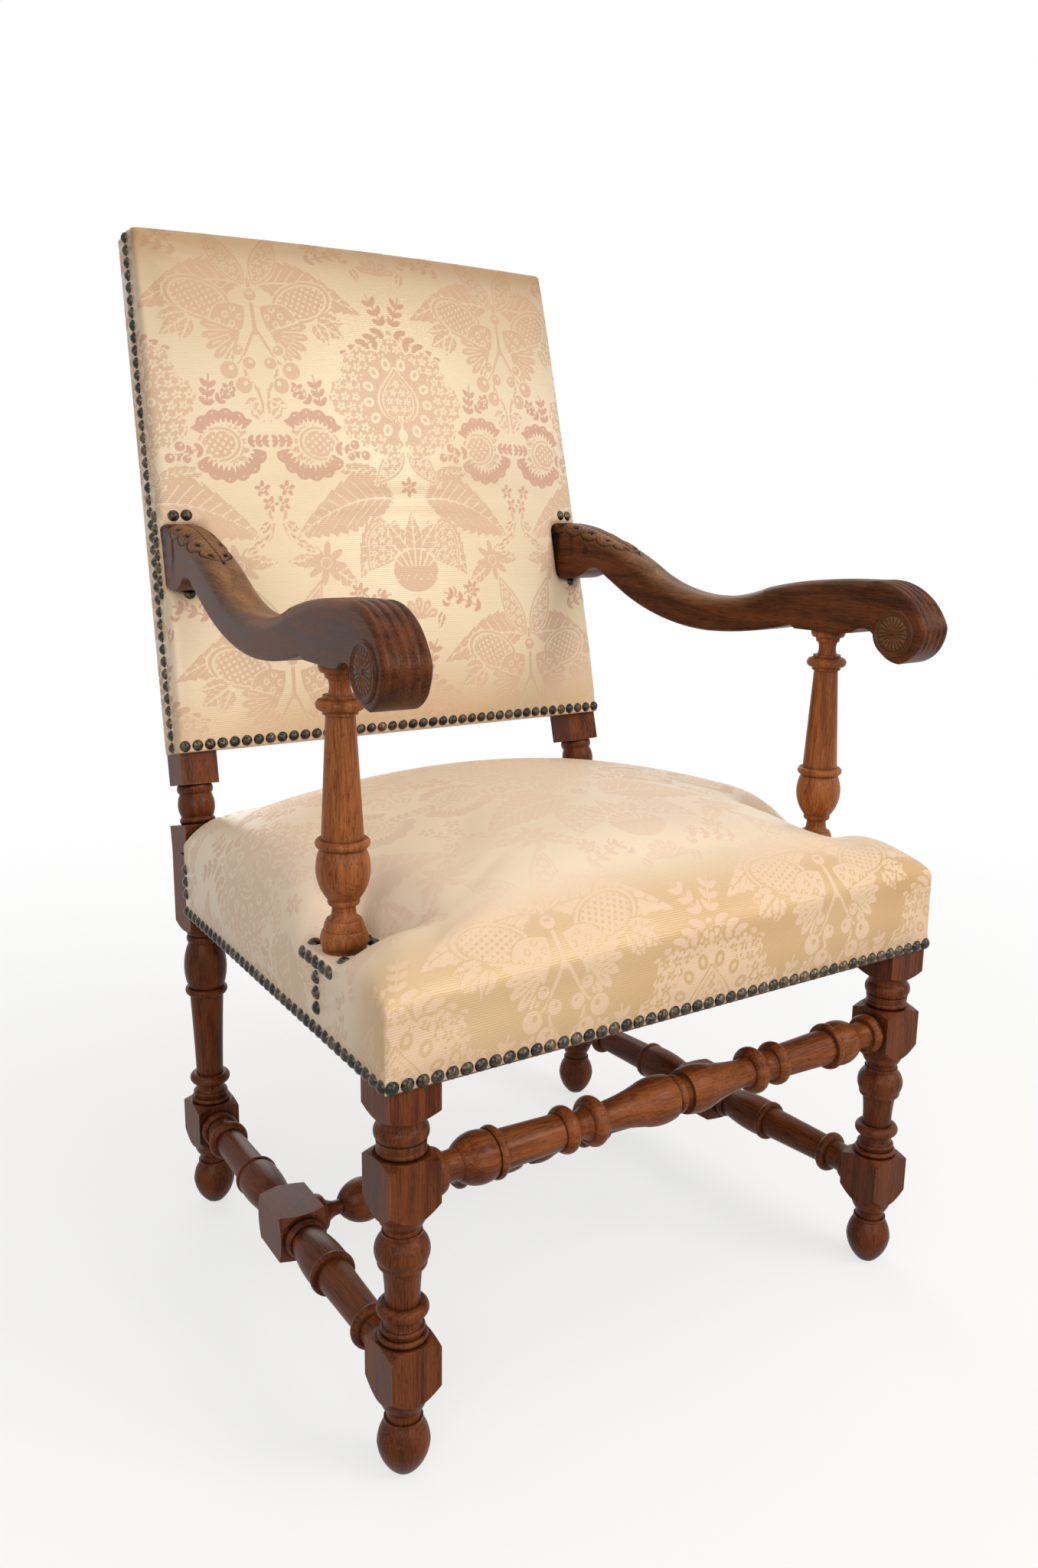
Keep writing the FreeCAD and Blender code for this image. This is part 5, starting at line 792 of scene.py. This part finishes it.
def upholster(columns, rows, point, gone, axes, fall_to, first, fall_steps):
    """A panel of cloth laid on a form, with its edges carried over the sides and turned under.
    point gives a place for a share across and a share up; gone says which cells are cut away; first is the
    place in the woven pattern where the panel's middle line starts."""
    across, up, away = axes
    shape = bmesh.new()
    cloth = shape.verts.layers.float_vector.new("cloth")
    where = shape.verts.layers.float_vector.new("where")
    label = shape.verts.layers.int.new("label")
    bmesh.ops.create_grid(shape, x_segments=columns, y_segments=rows, size=1)
    table = {}
    for vert in shape.verts:
        i, j = round((vert.co.x + 1) / 2 * columns), round((vert.co.y + 1) / 2 * rows)
        table[i, j] = vert
        vert[where] = (i, j, 0)
    for (i, j), vert in table.items():
        vert.co = point(2 * i / columns - 1, j / rows)
    middle = columns // 2
    climbed = [first[1]]
    for j in range(rows):
        climbed.append(climbed[-1] + 1000 * (table[middle, j + 1].co - table[middle, j].co).length)
    for j in range(rows + 1):
        for way in (1, -1):
            u = first[0]
            for i in range(middle, columns + 1 if way > 0 else -1, way):
                if i != middle:
                    u += way * 1000 * (table[i, j].co - table[i - way, j].co).length
                table[i, j][cloth] = (u, climbed[j], 0)
    cut = [f for f in shape.faces if gone(*[sum(v[where][k] for v in f.verts) / 4 for k in (0, 1)])]
    bmesh.ops.delete(shape, geom=cut, context="FACES")
    edges = [e for e in shape.edges if e.is_boundary]
    for vert in {v for e in edges for v in e.verts}:
        i, j, _ = vert[where]
        upright = any(e.is_boundary and e.other_vert(vert)[where][1] != j for e in vert.link_edges)
        if j == 0:
            vert[label] = NEAR
        elif 0 < j < rows and (i == 0 or (i < middle and upright)):
            vert[label] = LEFT
        elif 0 < j < rows and (i == columns or upright):
            vert[label] = RIGHT
        else:
            vert[label] = FURTHER
    for step in range(1, fall_steps + 2):
        fresh, edges = grow(shape, edges)
        for vert in fresh:
            side = SIDES[vert[label]]
            u, v, _ = vert[cloth]
            if step <= fall_steps:
                gap = (fall_to - vert.co.dot(away)) / (fall_steps + 1 - step)
                vert.co += away * gap
            else:
                gap = TURNED_UNDER
                vert.co -= across * side[0] * gap + up * side[1] * gap
            vert[cloth] = (u + side[0] * gap * 1000, v + side[1] * gap * 1000, 0)
    bmesh.ops.recalc_face_normals(shape, faces=shape.faces)
    return shape


SWELL_FRAMES, SMOOTHINGS = 20, 8


def swell(piece, nailed, cap):
    """Lets the stuffing press a cover out between its nails, by no more than cap, and keeps that shape."""
    held = piece.vertex_groups.new(name="nailed")
    held.add([v.index for v in piece.data.vertices if nailed(v.co)], 1.0, "REPLACE")
    tight = piece.modifiers.new("swell", "CLOTH").settings
    tight.quality = 5
    tight.mass = 0.15
    tight.tension_stiffness = tight.compression_stiffness = 12
    tight.shear_stiffness = 6
    tight.bending_stiffness = 0.5
    tight.use_pressure = True
    tight.uniform_pressure_force = 4
    tight.vertex_group_mass = "nailed"
    tight.effector_weights.gravity = 0
    for moment in range(1, SWELL_FRAMES + 1):
        bpy.context.scene.frame_set(moment)
    pressed = piece.evaluated_get(bpy.context.evaluated_depsgraph_get()).data
    # A point moves out along its own normal only, so that the cloth never sinks into the wood.
    moves = []
    for vert, after in zip(piece.data.vertices, pressed.vertices):
        moves.append(vert.normal * min(cap, max(0.0, (after.co - vert.co).dot(vert.normal))))
    piece.modifiers.clear()
    piece.vertex_groups.clear()
    for vert, move in zip(piece.data.vertices, moves):
        vert.co += move
    bpy.context.scene.frame_set(1)
    shape = bmesh.new()
    shape.from_mesh(piece.data)
    for _ in range(SMOOTHINGS):
        bmesh.ops.smooth_vert(
            shape, verts=[v for v in shape.verts if not nailed(v.co)], factor=0.5,
            use_axis_x=True, use_axis_y=True, use_axis_z=True,
        )
    shape.to_mesh(piece.data)
    shape.free()


def finish_cover(piece, age_and_shade, wear_and_sheen, brown):
    """One subdivision, applied, then the woven drawing on the finer mesh, and how its silk has darkened and worn,
    partly as painted shade and sheen.
    """
    finer = piece.modifiers.new("finer", "SUBSURF")
    finer.levels = finer.render_levels = 1
    bpy.context.view_layer.update()
    smooth = bpy.data.meshes.new_from_object(piece.evaluated_get(bpy.context.evaluated_depsgraph_get()))
    piece.modifiers.clear()
    piece.data = smooth
    weave_figures(smooth)
    for name, amount in (("aged_and_shaded", age_and_shade), ("worn", wear_and_sheen), ("painted_brown_shade", brown)):
        made = smooth.attributes.new(name, "FLOAT", "POINT")
        made.data.foreach_set("value", [amount(v.co) for v in smooth.vertices])
    smooth.shade_smooth()


def eased(value):
    """A smooth step from 0 to 1."""
    value = min(1.0, max(0.0, value))
    return value * value * (3 - 2 * value)


# Seat: crowned stuffing under one piece of damask, drawn down round the arm supports and nailed there, cut round
# the back posts and drawn smooth over the front corners.
seat_form = ray_target("seat_cover")
seat_low, seat_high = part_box("seat_cover")
# Half the seat's width over the cloth at its front, how it narrows to the rear, and the least height of its top.
SEAT_HALF, SEAT_TAPER, SEAT_FRONT, TOP_LEAST = 0.31955, 0.05227, -0.3244, 0.43
# The sunk places round the feet of the arm supports, and how far their slopes reach.
PIT_MIDDLE, PIT_HALF, PIT_INNER, PIT_FLOOR, PIT_SLOPE = -0.2154, 0.035, 0.2523, 0.437, 0.024
POST_INNER, POST_FRONT = 0.2399, 0.1580
SEAT_COLUMNS, SEAT_ROWS = 176, 146
# The column and row at the back posts, and how far the rows beside that one move with it.
NOTCH_COLUMN, NOTCH_ROW, NOTCH_REACH = 73, 132, 0.04
FULLER = 0.012
# How far inside an edge a ray is cast, so that it meets the form.
INSIDE = 0.0006


def seat_half(y):
    """Half the seat's width over the cloth."""
    return SEAT_HALF - SEAT_TAPER * (y - SEAT_FRONT)


def seat_row(share):
    """Places of the rows front to back, closer together at the rolled edges."""
    eased_share = share - 0.05 * math.sin(2 * math.pi * share)
    return seat_low.y + (seat_high.y - seat_low.y) * eased_share


def seat_point(across, up):
    """A place on the seat's top."""
    y = seat_row(up)
    notch_y = seat_row(NOTCH_ROW / SEAT_ROWS)
    y += (POST_FRONT - notch_y) * max(0.0, 1 - abs(y - notch_y) / NOTCH_REACH)
    x = across * seat_half(y)
    if up >= NOTCH_ROW / SEAT_ROWS - 1e-6:
        notch_share = NOTCH_COLUMN / (SEAT_COLUMNS / 2)
        x = across / notch_share * POST_INNER
        if abs(across) > notch_share:
            beyond = (abs(across) - notch_share) / (1 - notch_share)
            x = math.copysign(POST_INNER + beyond * (seat_half(y) - POST_INNER), across)
    inside_x = math.copysign(min(abs(x), seat_half(y) - INSIDE), x)
    inside_y = min(max(y, seat_low.y + INSIDE), seat_high.y - INSIDE)
    hit = seat_form.ray_cast(Vector((inside_x, inside_y, 1)), Vector((0, 0, -1)))[0]
    z = hit.z if hit and hit.z > TOP_LEAST else PIT_FLOOR
    # Its right front corner is stuffed fuller than the left.
    z += FULLER * eased((x - 0.02) / 0.25) * eased(-y / 0.2)
    before, behind = max(0.0, PIT_MIDDLE - PIT_HALF - y), max(0.0, y - PIT_MIDDLE - PIT_HALF)
    away = math.hypot(0.85 * before, behind, max(0.0, PIT_INNER - abs(x)))
    return Vector((x, y, PIT_FLOOR + (z - PIT_FLOOR) * (1 - math.exp(-away / PIT_SLOPE))))


def seat_cut(i, j):
    """Cells cut away round the back posts."""
    return j > NOTCH_ROW and abs(i - SEAT_COLUMNS / 2) > NOTCH_COLUMN


HESSIAN_SAG, HESSIAN_THICK = 0.0006, 0.0007


def hessian(name, steps, point, gone):
    """A piece of hessian: a grid laid by point, with the faces cut away whose middles are gone."""
    shape = bmesh.new()
    bmesh.ops.create_grid(shape, x_segments=steps[0], y_segments=steps[1], size=1)
    for vert in shape.verts:
        vert.co = point(vert.co.x, vert.co.y)
    cut = [face for face in shape.faces if gone(face.calc_center_median())]
    bmesh.ops.delete(shape, geom=cut, context="FACES")
    bmesh.ops.recalc_face_normals(shape, faces=shape.faces)
    bmesh.ops.solidify(shape, geom=shape.faces, thickness=HESSIAN_THICK)
    return make_piece(name + "_cloth", shape, jute_cloth, [name])


hessian_low, hessian_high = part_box("seat_hessian")


def seat_hessian_point(across, along):
    """A place on the seat's hessian, which hangs a little between the bands."""
    up = (along + 1) / 2
    y = hessian_low.y + (hessian_high.y - hessian_low.y) * up
    sag = HESSIAN_SAG * math.sin(across * 29) * math.sin(up * 26)
    return Vector((across * (seat_half(y) - 0.003), y, (hessian_low.z + hessian_high.z) / 2 + sag))


def seat_hessian_cut(middle):
    """Where the hessian is cut away: at the arm supports and round the back posts."""
    by_support = abs(middle.y - PIT_MIDDLE) < PIT_HALF + 0.004 and abs(middle.x) > PIT_INNER - 0.004
    return by_support or (abs(middle.x) > POST_INNER - 0.003 and middle.y > POST_FRONT - 0.003)


seat_hessian = hessian("seat_hessian", (72, 60), seat_hessian_point, seat_hessian_cut)


# Where in the woven repeat the cloth's front edge starts.
SEAT_PATTERN = (-14.0, -40.0)
seat_axes = (Vector((1, 0, 0)), Vector((0, 1, 0)), Vector((0, 0, -1)))
shape = upholster(SEAT_COLUMNS, SEAT_ROWS, seat_point, seat_cut, seat_axes, -seat_low.z, SEAT_PATTERN, 16)
seat = make_piece("seat_damask", shape, damask, ["seat_cover", "seat_stuffing"])
NAIL_LINE = seat_low.z + 0.011


def seat_nailed(place):
    """Where the seat's cover is held: below its nails, at the feet of the supports and round the posts."""
    by_support = abs(place.y - PIT_MIDDLE) < PIT_HALF and abs(place.x) > PIT_INNER
    by_post = place.y > POST_FRONT - 0.004 and abs(place.x) > POST_INNER - 0.004
    return place.z < NAIL_LINE or by_support or by_post


swell(seat, seat_nailed, 0.007)
finish_cover(
    seat,
    # A little more golden all over, and darker gold over the front roll: painted shade.
    age_and_shade=lambda place: 0.1 + 0.52 * eased((-0.27 - place.y) / 0.06),
    # Paler over the top, with figures faded: painted sheen, and worn by sitting.
    wear_and_sheen=lambda place: 0.5 * eased((place.y + 0.34) / 0.07),
    brown=lambda place: 0.0,
)


# Back: a tall pad of the same damask, nailed below on its front, at the sides and behind the top edge.
back_form = ray_target("back_cover")
RAKE = math.radians(12.7)
BACK_FOOT = Vector((0, 0.182603, 0.4275))
back_up = Vector((0, math.sin(RAKE), math.cos(RAKE)))
back_in = Vector((0, math.cos(RAKE), -math.sin(RAKE)))
BACK_LOW, BACK_HIGH, BACK_REAR = 0.1092, 0.6830, 0.0225
BACK_COLUMNS, BACK_ROWS = 160, 164
# Half the back's width at the foot of its posts, how it narrows upwards, and how far its edges stand forward.
BACK_HALF, BACK_TAPER, BACK_EDGE = 0.28881, 0.02793, -0.0268
BACK_PATTERN = (-10.0, -95.0)
back_axes = (Vector((1, 0, 0)), back_up, back_in)


def back_point(across, up):
    """A place on the back's front."""
    w = BACK_LOW + (BACK_HIGH - BACK_LOW) * (up - 0.03 * math.sin(2 * math.pi * up))
    half = BACK_HALF - BACK_TAPER * w
    x = across * half
    inside_x = math.copysign(min(abs(x), half - INSIDE), x)
    inside_w = min(max(w, BACK_LOW + INSIDE), BACK_HIGH - INSIDE)
    start = BACK_FOOT + Vector((inside_x, 0, 0)) + back_up * inside_w - back_in * 0.4
    hit = back_form.ray_cast(start, back_in)[0]
    depth = (hit - BACK_FOOT).dot(back_in) if hit else 0.0
    return BACK_FOOT + Vector((x, 0, 0)) + back_up * w + back_in * min(depth, BACK_EDGE)


fall = BACK_FOOT.dot(back_in) + BACK_REAR
shape = upholster(BACK_COLUMNS, BACK_ROWS, back_point, lambda i, j: False, back_axes, fall, BACK_PATTERN, 12)
back = make_piece("back_damask", shape, damask, ["back_cover", "back_stuffing"])
arm_end_nails = [Vector((low + high) / 2) for low, high in islands("arm_end_nails", world_axes)]
# How far round a nail the cloth is held, how deep the side nails are, and how far above its foot the lower ones.
NAIL_HOLD, SIDE_NAILS, LOWER_NAILS = 0.014, -0.012, 0.009


def back_nailed(place):
    """Where the back's cover is held: from its side and top nails backwards, and along its lower nails."""
    from_foot = place - BACK_FOOT
    if any((place - nail).length < NAIL_HOLD for nail in arm_end_nails):
        return True
    return from_foot.dot(back_in) > SIDE_NAILS or from_foot.dot(back_up) < BACK_LOW + LOWER_NAILS


def back_age_and_shade(place):
    """Painted shade: more golden at the top and at the foot of the pad."""
    w = (place - BACK_FOOT).dot(back_up)
    return 0.1 * eased((w - 0.58) / 0.1) + 0.4 * eased((0.2 - w) / 0.09)


def back_brown_shade(place):
    """Painted shade: browner towards the top of the front."""
    w, depth = (place - BACK_FOOT).dot(back_up), (place - BACK_FOOT).dot(back_in)
    brown = 0.06 + 0.44 * eased((w - 0.48) / 0.2) + 0.32 * eased((w - 0.63) / 0.05)
    return brown * eased(0.6 - depth / 0.03)


swell(back, back_nailed, 0.006)
finish_cover(back, age_and_shade=back_age_and_shade, wear_and_sheen=lambda place: 0.0, brown=back_brown_shade)


make_piece("back_webbing_bands", interlaced("back_webbing", back_axes), jute_band, ["back_webbing"])
low, high = islands("back_hessian", back_axes)[0]
HESSIAN_HALF = 0.2830


def back_hessian_point(across, along):
    """A place on the back's hessian, which hangs a little between the bands."""
    w = low[1] + (high[1] - low[1]) * (along + 1) / 2
    sag = HESSIAN_SAG * math.sin(across * 23) * math.sin(along * 13)
    x = across * (HESSIAN_HALF - BACK_TAPER * w)
    return Vector((x, 0, 0)) + back_up * w + back_in * ((low[2] + high[2]) / 2 + sag)


back_hessian = hessian("back_hessian", (40, 40), back_hessian_point, lambda middle: False)


# Outside back: one flat piece of the damask over the rear of the posts and rails, turned in at its edges.
low, high = islands("outside_back_cover", back_axes)[0]
OUTSIDE_STEPS = 130
TURNED_IN = 0.0012
shape = bmesh.new()
cloth = shape.verts.layers.float_vector.new("cloth")
bmesh.ops.create_grid(shape, x_segments=OUTSIDE_STEPS, y_segments=OUTSIDE_STEPS, size=1)
for vert in shape.verts:
    across, up = vert.co.x, (vert.co.y + 1) / 2
    w = low[1] + (high[1] - low[1]) * up
    half = high[0] - BACK_TAPER * (w - low[1])
    edge = min(1 - abs(across), 1 - abs(vert.co.y))
    puff = 0.0016 * eased(edge / 0.2) - TURNED_IN * (1 - eased(edge / 0.02))
    vert[cloth] = (1000 * across * half, 1000 * (w - low[1]) + BACK_PATTERN[1], 0)
    vert.co = Vector((across * half, 0, 0)) + back_up * w + back_in * (high[2] - 0.0004 + puff)
for vert in grow(shape, [e for e in shape.edges if e.is_boundary])[0]:
    vert.co -= back_in * TURNED_IN
bmesh.ops.recalc_face_normals(shape, faces=shape.faces)
outside = make_piece("outside_back_damask", shape, damask, ["outside_back_cover"])
finish_cover(outside, age_and_shade=lambda place: 0.2, wear_and_sheen=lambda place: 0.2, brown=lambda place: 0.0)


# Nails: domed heads of brass gone dark, close together along every edge of the cloth, brighter where rubbed.
def dark_brass():
    """Antique brass: brown-black patina with metal showing on the crowns."""
    made, tree, shader = new_material("antique_brass")
    place = add(tree, "ShaderNodeTexCoord", {}, "Object")
    # Each nail is rubbed more or less than its neighbours, about 13 mm away, in spots of about 2 mm.
    each = add(tree, "ShaderNodeTexNoise", {"Vector": place, "Scale": 75, "Detail": 1})
    spots = add(tree, "ShaderNodeTexNoise", {"Vector": place, "Scale": 420, "Detail": 3})
    both = add(tree, "ShaderNodeMath", {0: each, 1: spots}, operation="MULTIPLY")
    rubbed = add(tree, "ShaderNodeMapRange", {"Value": both, "From Min": 0.2, "From Max": 0.42})
    brass = add(
        tree, "ShaderNodeMix", {0: rubbed, 6: linear("#17130F"), 7: linear("#67563C")}, 2, data_type="RGBA",
    )
    rough = add(tree, "ShaderNodeMapRange", {"Value": spots, "To Min": 0.2, "To Max": 0.46})
    dents = add(tree, "ShaderNodeBump", {"Strength": 0.3, "Distance": 0.0006, "Height": spots})
    feed(tree, shader, {"Base Color": brass, "Roughness": rough, "Normal": dents, "Metallic": 0.6})
    feed(tree, shader, {"Specular IOR Level": 0.5, "Coat Weight": 0.25, "Coat Roughness": 0.12})
    return made


refinish(dark_brass(), "seat_nails", "support_base_nails", "back_nails", "arm_end_nails")


# Floor, light and camera: a pale floor that runs out into white, soft light from the front right, and the
# photograph's view from the front left, a little above the arms.
def seen(tree):
    """1 for rays that show a thing, straight, in a reflection or through glass, and 0 for those that light one."""
    total = 0.0
    for ray in ("Is Camera Ray", "Is Glossy Ray", "Is Transmission Ray"):
        path = add(tree, "ShaderNodeLightPath", {}, ray)
        total = add(tree, "ShaderNodeMath", {0: path, 1: total}, operation="ADD", use_clamp=True)
    return total


# The light that the floor throws back on the chair is that of a mid-toned one.
pale_floor, tree, shader = new_material("pale_floor")
shown = seen(tree)
tone = add(tree, "ShaderNodeMix", {0: shown, 6: linear("#948C83"), 7: linear("#F1EFEC")}, 2, data_type="RGBA")
feed(tree, shader, {"Base Color": tone, "Roughness": 0.9})
place = add(tree, "ShaderNodeTexCoord", {}, "Object")
away = add(tree, "ShaderNodeVectorMath", {0: place}, "Value", operation="LENGTH")
far = add(
    tree, "ShaderNodeMapRange", {"Value": away, "From Min": 0.4, "From Max": 2.2, "To Min": 0.68, "To Max": 1.0},
    interpolation_type="SMOOTHSTEP",
)
share = add(tree, "ShaderNodeMath", {0: far, 1: shown}, operation="MULTIPLY")
white = add(tree, "ShaderNodeEmission", {"Color": linear("#FFFFFF"), "Strength": 1.0})
surface = add(tree, "ShaderNodeMixShader", {0: share, 1: shader.outputs[0], 2: white})
# Clear from below, so that the underside of the chair can be seen.
below = add(tree, "ShaderNodeNewGeometry", {}, "Backfacing")
clear = add(tree, "ShaderNodeBsdfTransparent", {})
surface = add(tree, "ShaderNodeMixShader", {0: below, 1: surface, 2: clear})
feed(tree, tree.nodes["Material Output"], {"Surface": surface})
shape = bmesh.new()
bmesh.ops.create_circle(shape, cap_ends=True, radius=30, segments=96)
make_object("floor", shape, pale_floor)

# White where it is seen, and dimmer as a light.
world = bpy.data.worlds.new("studio")
bpy.context.scene.world = world
world.use_nodes = True
tree = world.node_tree
strength = add(tree, "ShaderNodeMapRange", {"Value": seen(tree), "To Min": 0.38, "To Max": 1.0})
feed(tree, tree.nodes["Background"], {"Strength": strength, "Color": linear("#FFFFFF")})
# Soft square lamps: place, width and power, all turned to the middle of the chair.
MIDDLE = Vector((0, -0.05, 0.6))
LAMPS = [
    ("key", (1.5, -2.4, 2.4), 1.3, 43),
    ("above", (0.1, -0.5, 3.2), 1.8, 14),
    ("fill", (-2.1, -2.2, 1.7), 1.6, 30),
    ("front", (0.2, -3.0, 1.1), 1.2, 16),
    ("rear", (0.9, 2.9, 1.6), 2.0, 30),
]
for name, spot, size, watts in LAMPS:
    lamp = bpy.data.lights.new(name, "AREA")
    lamp.size = size
    lamp.energy = watts
    holder = bpy.data.objects.new(name, lamp)
    holder.location = spot
    holder.rotation_euler = (MIDDLE - Vector(spot)).to_track_quat("-Z", "Y").to_euler()
    bpy.context.scene.collection.objects.link(holder)

# The photograph's camera, found from the chair's own square joints: focal length in pixels of its height, the ways
# that the picture's right, down and depth run, and where it stood.
FOCAL, PICTURE_HIGH = 1701.63, 2048
camera_data = bpy.data.cameras.new("photograph")
camera_data.sensor_fit = "VERTICAL"
camera_data.sensor_height = 36.0
camera_data.lens = camera_data.sensor_height * FOCAL / PICTURE_HIGH
right = Vector((0.82865, -0.55962, 0.01276))
down = Vector((-0.11207, -0.18819, -0.97572))
onward = Vector((0.54843, 0.80710, -0.21866))
camera = bpy.data.objects.new("photograph", camera_data)
camera.matrix_world = Matrix((
    (right.x, -down.x, -onward.x, -0.76135),
    (right.y, -down.y, -onward.y, -1.17758),
    (right.z, -down.z, -onward.z, 0.82258),
    (0, 0, 0, 1),
))
bpy.context.scene.collection.objects.link(camera)
bpy.context.scene.camera = camera
bpy.context.scene.view_settings.view_transform = "Standard"
